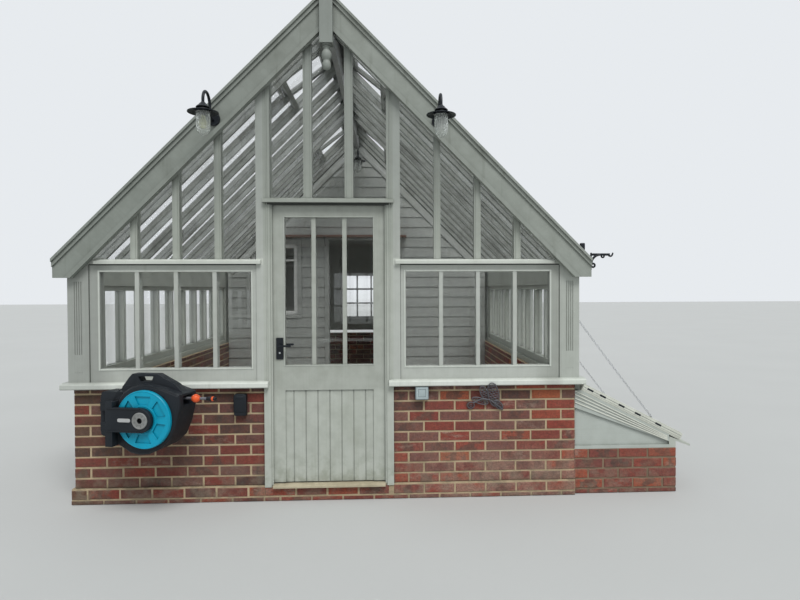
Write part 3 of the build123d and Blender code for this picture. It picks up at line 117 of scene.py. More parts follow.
def pick(piece, test, kind="FACE"):  # selects what passes the test, in edit mode
    mesh = bmesh.from_edit_mesh(piece.data)
    mesh.normal_update()
    if kind == "FACE":
        found = [face for face in mesh.faces if test(face.calc_center_median(), face.normal)]
    elif kind == "EDGE":
        found = [edge for edge in mesh.edges if test(edge.verts[0].co, edge.verts[1].co)]
    else:
        found = [vert for vert in mesh.verts if test(vert.co)]
    for part in found:
        part.select_set(True)
    mesh.select_flush_mode()
    bmesh.update_edit_mesh(piece.data)


def pull(x, y, z):  # extrudes what is selected
    bpy.ops.mesh.extrude_region_move(TRANSFORM_OT_translate={"value": (x, y, z)})


def closeMesh():
    bpy.ops.object.mode_set(mode="OBJECT")


def roundEdges(piece, width, segments=2, angle=40):
    makeActive(piece)
    bevel = piece.modifiers.new("roundEdges", "BEVEL")
    bevel.width = width
    bevel.segments = segments
    bevel.limit_method = "ANGLE"
    bevel.angle_limit = math.radians(angle)
    bpy.ops.object.modifier_apply(modifier="roundEdges")


def smooth(piece, angle=35):
    makeActive(piece)
    bpy.ops.object.shade_smooth_by_angle(angle=math.radians(angle))


def cut(piece, cutter):  # takes the cutter's shape out of the piece
    makeActive(piece)
    change = piece.modifiers.new("cutOut", "BOOLEAN")
    change.operation = "DIFFERENCE"
    change.solver = "EXACT"
    change.object = cutter
    bpy.ops.object.modifier_apply(modifier="cutOut")
    bpy.data.objects.remove(cutter, do_unlink=True)


def trim(piece, point, normal):  # cuts off what lies beyond a plane and closes the cut
    openMesh(piece, action="SELECT")
    bpy.ops.mesh.bisect(plane_co=point, plane_no=normal, use_fill=True, clear_outer=True)
    closeMesh()


def copyTo(piece, matrix):
    twin = piece.copy()
    twin.data = piece.data.copy()
    twin.data.transform(matrix)
    scene.collection.objects.link(twin)
    return twin


def joinAll(pieces, name):
    clearSelection()
    for piece in pieces:
        piece.select_set(True)
    bpy.context.view_layer.objects.active = pieces[0]
    if len(pieces) > 1:
        bpy.ops.object.join()
    pieces[0].name = name
    return pieces[0]


def addPlank(name, start, end, wide, thick, face):  # a board from start to end, its flat side towards face
    start, end, face = Vector(start), Vector(end), Vector(face).normalized()
    way = end - start
    ahead = way.normalized()
    piece = addBox(name, (-way.length / 2, -wide / 2, -thick / 2), (way.length / 2, wide / 2, thick / 2))
    turn = Matrix((ahead, face.cross(ahead), face)).transposed().to_4x4()
    piece.data.transform(Matrix.Translation((start + end) / 2) @ turn)
    return piece


def addLathe(name, outline, place, steps=32):  # outline holds (radius, height) pairs, spun about the local upright
    clearSelection()
    bpy.ops.mesh.primitive_plane_add(size=0.01, location=(0, 0, 0))
    piece = named(name)
    openMesh(piece, "VERT", "SELECT")
    bpy.ops.mesh.merge(type="CENTER")
    bpy.ops.transform.translate(value=(outline[0][0], 0, outline[0][1]))
    for (near, low), (far, high) in zip(outline, outline[1:]):
        pull(far - near, 0, high - low)
    bpy.ops.mesh.select_all(action="SELECT")
    bpy.ops.mesh.spin(steps=steps, angle=math.tau, center=(0, 0, 0), axis=(0, 0, 1))
    bpy.ops.mesh.select_all(action="SELECT")
    bpy.ops.mesh.remove_doubles(threshold=0.00002)
    bpy.ops.mesh.normals_make_consistent(inside=False)
    closeMesh()
    piece.data.transform(place)
    smooth(piece, 40)
    return piece


def addRing(name, radius, wire, place, around=24, thickness=8):
    clearSelection()
    bpy.ops.mesh.primitive_torus_add(major_segments=around, minor_segments=thickness, major_radius=radius,
                                     minor_radius=wire)
    piece = named(name)
    piece.data.transform(place)
    smooth(piece, 80)
    return piece


def softened(line, rounds=1):  # cuts the corners of a line of points
    for _ in range(rounds):
        eased = [line[0]]
        for (a, b), (c, d) in zip(line, line[1:]):
            eased += [(a * 0.75 + c * 0.25, b * 0.75 + d * 0.25), (a * 0.25 + c * 0.75, b * 0.25 + d * 0.75)]
        line = eased + [line[-1]]
    return line


def at(x, y, z):
    return Matrix.Translation((x, y, z))


def turned(x=0.0, y=0.0, z=0.0):
    return (Matrix.Rotation(math.radians(z), 4, "Z") @ Matrix.Rotation(math.radians(y), 4, "Y")
            @ Matrix.Rotation(math.radians(x), 4, "X"))


def dress(piece, material, body="building", slot="painted_wood"):
    piece.data.materials.clear()
    piece.data.materials.append(material)
    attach(piece, body)
    return piece


def complete(parts, name, material, body="building", slot="painted_wood", edge=0, segments=2, angle=40, soft=0):
    piece = joinAll(parts, name)
    if edge:
        roundEdges(piece, edge, segments, angle)
    if soft:
        smooth(piece, soft)
    return dress(piece, material, body, slot)


# sizes shared by several pieces, in metres

building = {
    "frontY": -2.745,
    "backY": 2.745,
    "partitionY": 0.915,
    "halfWidth": 1.824,
    "roofApex": 3.600,
    "brickHalf": 1.797,
    "brickFront": -2.718,
    "brickTop": 0.822,
    "innerHalf": 1.694,
    "innerEnd": 2.615,
    "floorTop": 0.10,
    "plinthHeight": 0.112,
    "plinthOut": 0.018,
    "postOuter": 0.463,
    "panelFace": -2.735,
}
b = building
apex = b["roofApex"]

# camera at the photograph's place

viewpoint = {
    "place": (0.457, -7.086, 1.520),
    "yaw": 2.92,
    "pitch": -1.03,
    "roll": -0.19,
    "focalPixels": 601.0,
    "axisPixel": 423.2,
    "frameWidth": 800,
    "sensorWidth": 36.0,
}


def makeCamera():
    yaw, pitch, roll = (math.radians(viewpoint[k]) for k in ("yaw", "pitch", "roll"))
    ahead = Vector((math.sin(yaw) * math.cos(pitch), math.cos(yaw) * math.cos(pitch), math.sin(pitch)))
    right = Vector((math.cos(yaw), -math.sin(yaw), 0))
    up = right.cross(ahead)
    sideways = right * math.cos(roll) + up * math.sin(roll)
    upright = up * math.cos(roll) - right * math.sin(roll)
    turn = Matrix((sideways, upright, -ahead)).transposed().to_4x4()
    clearSelection()
    bpy.ops.object.camera_add()
    camera = bpy.context.active_object
    camera.matrix_world = Matrix.Translation(viewpoint["place"]) @ turn
    lens = camera.data
    lens.sensor_fit = "HORIZONTAL"
    lens.sensor_width = viewpoint["sensorWidth"]
    lens.lens = viewpoint["focalPixels"] / viewpoint["frameWidth"] * viewpoint["sensorWidth"]
    lens.shift_x = 0.5 - viewpoint["axisPixel"] / viewpoint["frameWidth"]
    lens.clip_end = 200
    scene.camera = camera


makeCamera()
print("camera placed")


# shader helpers and shared groups

def newTree(name):
    material = bpy.data.materials.new(name)
    material.use_nodes = True
    tree = material.node_tree
    return material, tree, tree.nodes["Principled BSDF"]


def add(tree, kind, **values):  # names that begin with in_ set the node's input sockets
    node = tree.nodes.new(kind)
    for key, value in values.items():
        if key.startswith("in_"):
            node.inputs[key[3:].replace("_", " ")].default_value = value
        else:
            setattr(node, key, value)
    return node


def link(tree, source, target):
    tree.links.new(source, target)


def feed(tree, socket, value):  # a number, a colour or another node's output
    if isinstance(value, (int, float)):
        socket.default_value = value
    elif isinstance(value, tuple):
        socket.default_value = (*value, 1) if len(value) == 3 and socket.type == "RGBA" else value
    else:
        link(tree, value, socket)


def axes(tree, vector):
    node = add(tree, "ShaderNodeSeparateXYZ")
    link(tree, vector, node.inputs["Vector"])
    return node.outputs


def ramp(tree, source, stops):  # a stop's shade is a colour, or one number for a grey
    node = tree.nodes.new("ShaderNodeValToRGB")
    marks = node.color_ramp.elements
    while len(marks) < len(stops):
        marks.new(0.5)
    for mark, (place, shade) in zip(marks, stops):
        mark.position = place
        mark.color = (*shade, 1) if isinstance(shade, tuple) else (shade, shade, shade, 1)
    link(tree, source, node.inputs["Fac"])
    return node.outputs["Color"]


def startGroup(name, inputs, outputs):
    group = bpy.data.node_groups.new(name, "ShaderNodeTree")
    for title, kind, value in inputs:
        socket = group.interface.new_socket(title, in_out="INPUT", socket_type="NodeSocket" + kind)
        if value is not None:
            socket.default_value = value
    for title, kind in outputs:
        group.interface.new_socket(title, in_out="OUTPUT", socket_type="NodeSocket" + kind)
    return group, group.nodes.new("NodeGroupInput"), group.nodes.new("NodeGroupOutput")


def stretch(tree, vector, scale, turn=(0, 0, 0)):
    mapping = tree.nodes.new("ShaderNodeMapping")
    mapping.inputs["Scale"].default_value = scale
    mapping.inputs["Rotation"].default_value = [math.radians(a) for a in turn]
    link(tree, vector, mapping.inputs["Vector"])
    return mapping.outputs["Vector"]


def noise(tree, vector, scale, detail=4.0, rough=0.55):
    node = add(tree, "ShaderNodeTexNoise", in_Scale=scale, in_Detail=detail, in_Roughness=rough)
    link(tree, vector, node.inputs["Vector"])
    return node.outputs["Fac"]


def between(tree, value, low, high, to=(0.0, 1.0)):  # eased from one range to another
    node = add(tree, "ShaderNodeMapRange", interpolation_type="SMOOTHSTEP", in_From_Min=low, in_From_Max=high,
               in_To_Min=to[0], in_To_Max=to[1])
    link(tree, value, node.inputs["Value"])
    return node.outputs["Result"]


def work(tree, operation, first, second):
    node = add(tree, "ShaderNodeMath", operation=operation, use_clamp=operation in ("MULTIPLY", "ADD"))
    feed(tree, node.inputs[0], first)
    feed(tree, node.inputs[1], second)
    return node.outputs["Value"]


def times(tree, first, second):
    return work(tree, "MULTIPLY", first, second)


def plus(tree, first, second):
    return work(tree, "ADD", first, second)


def blendColour(tree, factor, first, second, mode="MIX"):
    node = add(tree, "ShaderNodeMix", data_type="RGBA", blend_type=mode)
    feed(tree, node.inputs["Factor"], factor)
    feed(tree, node.inputs[6], first)
    feed(tree, node.inputs[7], second)
    return node.outputs[2]


def shaded(tree, colour, shade):
    return blendColour(tree, 1.0, colour, shade, "MULTIPLY")


# shared group: dirt, growth and splash that the thing has, plus painted shade in its creases and recesses
def makeWeatheringAndShade():
    group, start, end = startGroup(
        "weatheringAndShade",
        [("Vector", "Vector", None), ("Color", "Color", (0.8, 0.8, 0.8, 1)),
         ("Grime Color", "Color", (0.1, 0.1, 0.07, 1)), ("Grime", "Float", 0.5), ("Streaks", "Float", 0.3),
         ("Mottle", "Float", 0.2), ("Top Growth", "Float", 0.5), ("Splash", "Float", 0.5), ("Crevice", "Float", 0.9)],
        [("Color", "Color"), ("Mask", "Float"), ("Height", "Float")],
    )
    given = start.outputs
    place = given["Vector"]
    slow = noise(group, place, 1.7, 5)
    middle = noise(group, place, 11, 6, 0.6)
    fine = noise(group, place, 210, 3, 0.6)
    streaks = noise(group, stretch(group, place, (26, 26, 1.1)), 1.0, 4)
    normal = add(group, "ShaderNodeNewGeometry").outputs["Normal"]
    upward = between(group, axes(group, normal)["Z"], 0.25, 0.8)
    low = between(group, axes(group, place)["Z"], 0.05, 0.42, (1.0, 0.0))
    mottled = times(group, between(group, middle, 0.35, 0.7), given["Mottle"])
    base = blendColour(group, mottled, given["Color"], shaded(group, given["Color"], (0.72, 0.72, 0.70)))
    patches = times(group, between(group, slow, 0.5, 0.72), given["Grime"])
    runs = times(group, between(group, streaks, 0.56, 0.8), given["Streaks"])
    growth = times(group, times(group, upward, between(group, middle, 0.38, 0.62)), given["Top Growth"])
    splash = times(group, times(group, low, between(group, middle, 0.4, 0.65)), given["Splash"])
    mask = plus(group, plus(group, patches, runs), plus(group, growth, splash))
    coloured = blendColour(group, mask, base, given["Grime Color"])
    # painted shade: ambient occlusion darkens creases, recesses, laps and corners
    crevice = add(group, "ShaderNodeAmbientOcclusion", samples=6, in_Distance=0.050)
    occlusionShade = between(group, crevice.outputs["AO"], 0.15, 0.85, (0.36, 1.0))
    link(group, blendColour(group, given["Crevice"], coloured, occlusionShade, "MULTIPLY"), end.inputs["Color"])
    link(group, mask, end.inputs["Mask"])
    link(group, plus(group, times(group, fine, 0.35), times(group, middle, 0.5)), end.inputs["Height"])
    return group


def makeGrain():
    group, start, end = startGroup(
        "timberGrain",
        [("Vector", "Vector", None), ("Length", "Float", 1.5), ("Width", "Float", 90.0)],
        [("Lines", "Float")],
    )
    size = add(group, "ShaderNodeCombineXYZ")
    for axis, title in (("X", "Width"), ("Y", "Width"), ("Z", "Length")):
        link(group, start.outputs[title], size.inputs[axis])
    scaled = add(group, "ShaderNodeVectorMath", operation="MULTIPLY")
    link(group, start.outputs["Vector"], scaled.inputs[0])
    link(group, size.outputs["Vector"], scaled.inputs[1])
    link(group, noise(group, scaled.outputs["Vector"], 1.0, 5, 0.65), end.inputs["Lines"])
    return group


weatheringAndShade = makeWeatheringAndShade()
timberGrain = makeGrain()


def useGroup(tree, group, **values):
    node = tree.nodes.new("ShaderNodeGroup")
    node.node_tree = group
    for key, value in values.items():
        feed(tree, node.inputs[key.replace("_", " ")], value)
    return node.outputs


def objectPlace(tree):
    return tree.nodes.new("ShaderNodeTexCoord").outputs["Object"]


def bump(tree, shader, height, strength, distance):
    node = add(tree, "ShaderNodeBump", in_Strength=strength, in_Distance=distance)
    link(tree, height, node.inputs["Height"])
    link(tree, node.outputs["Normal"], shader.inputs["Normal"])


def weatherAndShadeBy(tree, place, look):
    return useGroup(tree, weatheringAndShade, Vector=place, Color=look["colour"], Grime_Color=look["grimeColour"],
                    Grime=look["grime"], Streaks=look["streaks"], Mottle=look["mottle"], Top_Growth=look["growth"],
                    Splash=look["splash"], Crevice=look["crevice"])


# paints: every one is the sage paint with some of its values changed

sage = {
    "colour": (0.455, 0.480, 0.430),
    "grimeColour": (0.15, 0.17, 0.10),
    "grainColour": (0.33, 0.35, 0.30),
    "grime": 0.10,
    "streaks": 0.14,
    "mottle": 0.24,
    "growth": 0.30,
    "splash": 0.40,
    "grain": 0.22,
    "grainLength": 1.4,
    "grainWidth": 95.0,
    "rough": 0.52,
    "bump": 0.35,
    # how strongly painted shade darkens creases and recesses
    "crevice": 0.9,
}


def makePainted(name, grainTurn=(0, 0, 0), **changes):
    look = dict(sage, **changes)
    material, tree, shader = newTree(name)
    place = objectPlace(tree)
    weatherAndShade = weatherAndShadeBy(tree, place, look)
    lines = useGroup(tree, timberGrain, Vector=stretch(tree, place, (1, 1, 1), grainTurn), Length=look["grainLength"],
                     Width=look["grainWidth"])["Lines"]
    veins = between(tree, lines, 0.45, 0.75, (0.0, look["grain"]))
    veined = blendColour(tree, veins, weatherAndShade["Color"], look["grainColour"])
    if look.get("across"):
        share = between(tree, axes(tree, place)["X"], -1.9, 1.9)
        veined = shaded(tree, veined, ramp(tree, share, look["across"]))
    if look.get("tone"):
        veined = shaded(tree, veined, ramp(tree, times(tree, axes(tree, place)["Z"], 0.25), look["tone"]))
    link(tree, veined, shader.inputs["Base Color"])
    link(tree, between(tree, weatherAndShade["Mask"], 0.0, 0.8, (look["rough"], 0.85)), shader.inputs["Roughness"])
    bump(tree, shader, plus(tree, times(tree, lines, 0.6), times(tree, weatherAndShade["Height"], 0.4)), look["bump"], 0.002)
    shader.inputs["Specular IOR Level"].default_value = 0.35
    return material


# shade of the paint by height, with heights given as quarters of the metres
gableTone = [(0.2158, 1.0), (0.2178, 0.96), (0.43, 0.96), (0.455, (0.80, 0.81, 0.80)), (0.60, (0.64, 0.65, 0.65)),
             (0.85, (0.54, 0.555, 0.565))]
doorTone = [(0.1900, 1.0), (0.2020, 0.87), (0.40, 0.87), (0.54, 0.80)]
# on the front frames the sill below 0.87 m and the transom band are lighter, painted highlight where their tops catch
# the light; darker higher up
frameToneAndHighlight = [(0.2175, 1.0), (0.2180, 0.70), (0.4245, 0.70), (0.4262, (0.90, 0.90, 0.89)), (0.4350, (0.90, 0.90, 0.89)),
             (0.4360, 0.64), (0.60, (0.50, 0.51, 0.51)), (0.80, (0.42, 0.43, 0.43))]
# shade across the width, from the left corner at 0 to the right one at 1, eased at both ends
frameAcross = [(0.0, (0.73, 0.735, 0.735)), (0.017, 0.70), (0.031, 1.0), (0.969, 1.0), (0.983, (0.77, 0.77, 0.76)),
               (0.9900, (0.77, 0.77, 0.76)), (0.9904, (0.94, 0.95, 0.94)), (1.0, (0.94, 0.95, 0.94))]
# painted shade on the raking boards: darker towards the left
rakingAcross = [(0.0, (0.80, 0.81, 0.81)), (0.45, 0.84), (0.55, 0.96), (1.0, 1.0)]

paintUpright = makePainted("sagePaintUpright")
paintAcross = makePainted("sagePaintAcross", (0, 90, 0))
paintLengthways = makePainted("sagePaintLengthways", (90, 0, 0))
paintFront = makePainted("sagePaintFront", colour=(0.66, 0.69, 0.635), grainColour=(0.50, 0.53, 0.47), growth=0.08,
                         crevice=0.45, tone=frameToneAndHighlight, across=frameAcross)
paintDoor = makePainted("sagePaintDoor", mottle=0.42, grime=0.20, tone=doorTone)
# near-black sage for the strips of painted shadow
paintShadow = makePainted("sagePaintShaded", colour=(0.045, 0.050, 0.045), grainColour=(0.03, 0.03, 0.03))
paintBead = makePainted("sagePaintBead", colour=(0.56, 0.59, 0.54))
paintDoorBead = makePainted("sagePaintDoorBead", colour=(0.50, 0.53, 0.48), tone=doorTone)
paintGable = makePainted("sagePaintGable", tone=gableTone)
paintInner = makePainted("sagePaintInner", (0, 90, 0), colour=(0.355, 0.37, 0.35), grime=0.14, mottle=0.35,
                         streaks=0.22)
paintBars = makePainted("sagePaintBars", (0, 45, 0), colour=(0.285, 0.30, 0.28), grimeColour=(0.07, 0.07, 0.062),
                        grime=0.65, mottle=1.0, streaks=0.5, growth=0.55)
paintCool = makePainted("sagePaintCheek", (0, 90, 0), colour=(0.44, 0.475, 0.44))
paintWeathered = makePainted("sagePaintWeathered", (90, 0, 0), colour=(0.66, 0.675, 0.60), grime=0.20, growth=0.22,
                             mottle=0.30, streaks=0.2)
paintRaking = makePainted("sagePaintRaking", (0, 45, 0), colour=(0.30, 0.324, 0.29), grimeColour=(0.075, 0.080, 0.055),
                          grainColour=(0.21, 0.225, 0.195), grime=0.26, growth=0.36, mottle=0.40, streaks=0.32,
                          across=rakingAcross)
paintWhite = makePainted("whitePaint", colour=(0.76, 0.77, 0.74), grimeColour=(0.35, 0.35, 0.28),
                         grainColour=(0.6, 0.6, 0.56))
timberOld = makePainted("oldTimber", (90, 0, 0), colour=(0.38, 0.39, 0.385), grimeColour=(0.21, 0.215, 0.20),
                        grainColour=(0.28, 0.285, 0.28), grain=0.6, mottle=0.6)
timberRed = makePainted("redBrownTimber", (0, 90, 0), colour=(0.15, 0.075, 0.050), grimeColour=(0.07, 0.04, 0.03),
                        grainColour=(0.08, 0.04, 0.03), grain=0.6)

# metals, plastics, mortar and felt

ironLook = {
    "colour": (0.009, 0.012, 0.016), "grimeColour": (0.034, 0.037, 0.042), "grime": 0.18, "streaks": 0.12,
    "mottle": 0.4, "growth": 0.12, "splash": 0.0, "crevice": 0.9, "speckle": 420.0, "rough": (0.30, 0.5), "bump": 0.25,
    "bumpDepth": 0.001, "metal": 0.0, "gloss": 0.26,
}
plasticLook = dict(ironLook, colour=(0.009, 0.0125, 0.017), grimeColour=(0.034, 0.038, 0.042), gloss=0.30,
                   speckle=600.0, rough=(0.45, 0.62), grime=0.2, growth=0.35)
earthLook = dict(ironLook, rough=(0.85, 0.97), bump=0.8, bumpDepth=0.003)
mortarLook = dict(earthLook, grime=0.42, mottle=0.8, speckle=500.0, growth=0.2, splash=0.5)


def makePlain(name, base, colour=None, grimeColour=None, **changes):
    look = dict(base, colour=colour or base["colour"], grimeColour=grimeColour or base["grimeColour"], **changes)
    material, tree, shader = newTree(name)
    place = objectPlace(tree)
    weatherAndShade = weatherAndShadeBy(tree, place, look)
    link(tree, weatherAndShade["Color"], shader.inputs["Base Color"])
    speckle = noise(tree, place, look["speckle"], 3, 0.6)
    link(tree, between(tree, speckle, 0.3, 0.7, look["rough"]), shader.inputs["Roughness"])
    bump(tree, shader, plus(tree, speckle, weatherAndShade["Height"]), look["bump"], look["bumpDepth"])
    shader.inputs["Metallic"].default_value = look["metal"]
    shader.inputs["Specular IOR Level"].default_value = look["gloss"]
    return material


iron = makePlain("blackIron", ironLook)
darkPlastic = makePlain("darkPlastic", plasticLook)
greyPlastic = makePlain("greyPlastic", plasticLook, (0.30, 0.36, 0.38), (0.2, 0.22, 0.18))
turquoise = makePlain("turquoisePlastic", plasticLook, (0.0, 0.33, 0.50), (0.01, 0.22, 0.30), rough=(0.32, 0.48))
orangePlastic = makePlain("orangePlastic", plasticLook, (0.85, 0.12, 0.03), (0.3, 0.07, 0.03), rough=(0.3, 0.5))
zinc = makePlain("galvanisedSteel", ironLook, (0.66, 0.68, 0.70), (0.3, 0.3, 0.28), metal=0.55, rough=(0.35, 0.55))
felt = makePlain("roofFelt", earthLook, (0.115, 0.12, 0.125), (0.10, 0.12, 0.06), grime=0.4, growth=0.5, mottle=0.7,
                 speckle=900.0, rough=(0.8, 0.95))
concrete = makePlain("concrete", earthLook, (0.36, 0.345, 0.32), (0.24, 0.225, 0.20), grime=0.22, mottle=0.35,
                     speckle=300.0, rough=(0.8, 0.95), bump=0.6)
mortar = makePlain("mortar", mortarLook, (0.50, 0.395, 0.255), (0.22, 0.18, 0.125))
dimMortar = makePlain("dimMortar", mortarLook, (0.25, 0.185, 0.125), (0.13, 0.10, 0.07))
greyPlasticPale = makePlain("greyPlasticPale", plasticLook, (0.40, 0.47, 0.48), (0.2, 0.22, 0.18))
wornGrey = makePlain("wornGreyPlastic", plasticLook, (0.26, 0.265, 0.26), (0.09, 0.085, 0.08), mottle=0.9, grime=0.5,
                     speckle=260.0, bump=0.5)
blankPlate = makePlain("palePlate", plasticLook, (0.46, 0.47, 0.47), (0.2, 0.19, 0.17))
hoseGrey = makePlain("hoseGrey", plasticLook, (0.16, 0.16, 0.18), (0.1, 0.1, 0.1))
pewter = makePlain("darkPewter", ironLook, (0.15, 0.146, 0.162), (0.07, 0.067, 0.07), metal=0.3, mottle=0.8,
                   rough=(0.4, 0.6))
bulbWhite = makePlain("frostedBulb", plasticLook, (0.82, 0.84, 0.80), (0.55, 0.58, 0.50), rough=(0.35, 0.5))
bulbYellow = makePlain("agedBulb", plasticLook, (0.74, 0.76, 0.26), (0.46, 0.50, 0.18), rough=(0.35, 0.5))
sandyBed = makePlain("sandyMortar", earthLook, (0.51, 0.45, 0.32), (0.30, 0.25, 0.17), mottle=0.9)
print("paints and metals ready")

glassLook = {
    "tint": (0.90, 0.95, 0.93), "dirtColour": (0.55, 0.58, 0.50), "alpha": (0.10, 0.24), "rough": (0.03, 0.22),
    "film": 0.7, "specks": 0.5, "speckle": 85.0, "speckRange": (0.62, 0.78), "transmission": 1.0,
}


def makeGlass(name, **changes):
    look = dict(glassLook, **changes)
    material, tree, shader = newTree(name)
    place = objectPlace(tree)
    film = between(tree, noise(tree, place, 3.1, 6, 0.65), 0.42, 0.8)
    specks = between(tree, noise(tree, place, look["speckle"], 3, 0.6), *look["speckRange"])
    dirt = plus(tree, times(tree, film, look["film"]), times(tree, specks, look["specks"]))
    link(tree, blendColour(tree, dirt, look["tint"], look["dirtColour"]), shader.inputs["Base Color"])
    link(tree, between(tree, dirt, 0.0, 1.0, look["alpha"]), shader.inputs["Alpha"])
    link(tree, between(tree, dirt, 0.0, 1.0, look["rough"]), shader.inputs["Roughness"])
    bump(tree, shader, noise(tree, place, 2.2, 2, 0.5), 0.05, 0.01)
    shader.inputs["Transmission Weight"].default_value = look["transmission"]
    shader.inputs["IOR"].default_value = 1.45
    return material


windowGlass = makeGlass("windowGlass")
roofGlass = makeGlass("roofGlass", tint=(0.88, 0.90, 0.89), dirtColour=(0.52, 0.53, 0.50), alpha=(0.10, 0.50), film=0.5,
                      specks=0.6, speckle=60.0, speckRange=(0.50, 0.72), rough=(0.05, 0.5))
lidGlass = makeGlass("lidGlass", dirtColour=(0.48, 0.51, 0.42), alpha=(0.16, 0.45), specks=0.6, speckRange=(0.5, 0.75))
jarGlass = makeGlass("jarGlass", tint=(0.88, 0.92, 0.88), dirtColour=(0.74, 0.78, 0.72), alpha=(0.42, 0.62),
                     rough=(0.12, 0.4), transmission=0.6)
print("glass ready")


# brick

brickwork = {
    "length": 0.2145,
    "height": 0.0645,
    "joint": 0.0105,
    "pitch": 0.075,
    "proud": 0.0034,
    "depth": 0.020,
    "edge": 0.0035,
    "wander": 0.0012,
    "colours": [(0.0, (0.50, 0.165, 0.062)), (0.08, (0.36, 0.090, 0.048)), (0.18, (0.30, 0.058, 0.040)),
                (0.36, (0.24, 0.052, 0.042)), (0.52, (0.19, 0.058, 0.052)), (0.66, (0.175, 0.078, 0.074)),
                (0.80, (0.21, 0.115, 0.105)), (0.90, (0.12, 0.070, 0.062)), (1.0, (0.080, 0.054, 0.050))],
    "kiss": (0.075, 0.060, 0.052),
    "sand": (0.30, 0.12, 0.085),
    "smear": (0.36, 0.27, 0.235),
    "lime": (0.34, 0.225, 0.19),
    "leftDarkColour": (0.135, 0.092, 0.060),
    "grime": (0.30, 0.26, 0.19),
    "creaseShade": (0.075, 0.036, 0.028),
    "tint": (0.96, 0.85, 0.76),
}


def makeBrickMaterial(look):
    material, tree, shader = newTree("facingBrick")
    place = objectPlace(tree)
    chance = axes(tree, add(tree, "ShaderNodeAttribute", attribute_name="brickTone").outputs["Vector"])
    onFace = axes(tree, add(tree, "ShaderNodeUVMap", uv_map="brickFace").outputs["UV"])["X"]
    # dark kiss marks across the middle of some bricks
    ragged = plus(tree, onFace, between(tree, noise(tree, place, 17, 4), 0.2, 0.8, (-0.28, 0.28)))
    kissed = times(tree, between(tree, ragged, 0.24, 0.40), between(tree, ragged, 0.60, 0.78, (1.0, 0.0)))
    kiss = times(tree, times(tree, kissed, between(tree, chance["Y"], 0.68, 0.78)), 0.75)
    colour = blendColour(tree, kiss, ramp(tree, chance["X"], look["colours"]), look["kiss"])
    # sandy clouds, and lime smeared over some faces
    cloud = between(tree, noise(tree, place, 26, 6, 0.7), 0.35, 0.7)
    colour = blendColour(tree, times(tree, cloud, 0.40), colour, look["sand"])
    smear = times(tree, between(tree, noise(tree, stretch(tree, place, (1, 1, 2.2)), 13, 6, 0.7), 0.48, 0.70),
                  between(tree, chance["Z"], 0.55, 0.95, (0.0, 0.75)))
    colour = blendColour(tree, smear, colour, look["smear"])
    # the right wall is limed near the ground, the left end gets dark brown clouds, and the bricks left of the door are
    # darkened as painted shade
    spot = axes(tree, place)
    cloudy = between(tree, noise(tree, place, 6.5, 5, 0.65), 0.36, 0.62)
    rightWall = times(tree, between(tree, spot["X"], 0.3, 0.9), between(tree, spot["X"], 1.7965, 1.8175, (1.0, 0.0)))
    lime = times(tree, rightWall, between(tree, spot["Z"], 0.12, 0.50, (0.85, 0.0)))
    colour = blendColour(tree, times(tree, lime, cloudy), colour, look["lime"])
    darkLeftClouds = times(tree, between(tree, spot["X"], -1.80, -1.25, (0.75, 0.0)), cloudy)
    colour = blendColour(tree, darkLeftClouds, colour, look["leftDarkColour"])
    # painted shade: the bricks left of the door darker
    colour = shaded(tree, colour, between(tree, spot["X"], -0.6, -0.3, (0.76, 0.96)))
    colour = shaded(tree, colour, between(tree, noise(tree, place, 74, 6, 0.75), 0.30, 0.70, (0.74, 1.20)))
    colour = shaded(tree, colour, look["tint"])
    weatherAndShade = useGroup(tree, weatheringAndShade, Vector=place, Color=colour, Grime_Color=look["grime"], Grime=0.25,
                       Streaks=0.12, Mottle=0.5, Top_Growth=0.2, Splash=0.35)
    # creases of the moulded face, bumped and darkened with painted shade
    wobble = add(tree, "ShaderNodeTexNoise", in_Scale=22.0)
    link(tree, place, wobble.inputs["Vector"])
    small = add(tree, "ShaderNodeVectorMath", operation="SCALE", in_Scale=0.06)
    link(tree, wobble.outputs["Color"], small.inputs[0])
    bent = add(tree, "ShaderNodeVectorMath", operation="ADD")
    link(tree, stretch(tree, place, (1, 1, 1.9)), bent.inputs[0])
    link(tree, small.outputs["Vector"], bent.inputs[1])
    creases = add(tree, "ShaderNodeTexVoronoi", feature="DISTANCE_TO_EDGE", in_Scale=34.0)
    link(tree, bent.outputs["Vector"], creases.inputs["Vector"])
    gap = creases.outputs["Distance"]
    creaseShade = times(tree, between(tree, gap, 0.0, 0.06, (1, 0)), 0.5)
    link(tree, blendColour(tree, creaseShade, weatherAndShade["Color"], look["creaseShade"]), shader.inputs["Base Color"])
    grit = plus(tree, times(tree, noise(tree, place, 160, 5, 0.7), 0.5), times(tree, cloud, 0.3))
    bump(tree, shader, plus(tree, times(tree, between(tree, gap, 0.0, 0.09), 0.4), grit), 0.7, 0.004)
    link(tree, between(tree, cloud, 0.0, 1.0, (0.78, 0.93)), shader.inputs["Roughness"])
    return material


def makeBrick(size):
    brick = addBox("brickPattern", (0, -size["proud"], 0), (size["length"], size["depth"], size["height"]))
    openMesh(brick)
    pick(brick, lambda c, n: n.y > 0.9)
    bpy.ops.mesh.delete(type="FACE")
    pick(brick, lambda c, n: n.y < -0.9)
    bpy.ops.mesh.bevel(offset=size["edge"], segments=1)
    closeMesh()
    layer = brick.data.uv_layers.get("UVMap") or brick.data.uv_layers.new(name="UVMap")
    layer.name = "brickFace"
    for loop in brick.data.loops:
        spot = brick.data.vertices[loop.vertex_index].co
        layer.data[loop.index].uv = (spot.x / size["length"], spot.z / size["height"])
    brick.data.attributes.new("brickTone", "FLOAT_VECTOR", "POINT")
    return brick


facingBrick = makeBrickMaterial(brickwork)
brickPattern = makeBrick(brickwork)


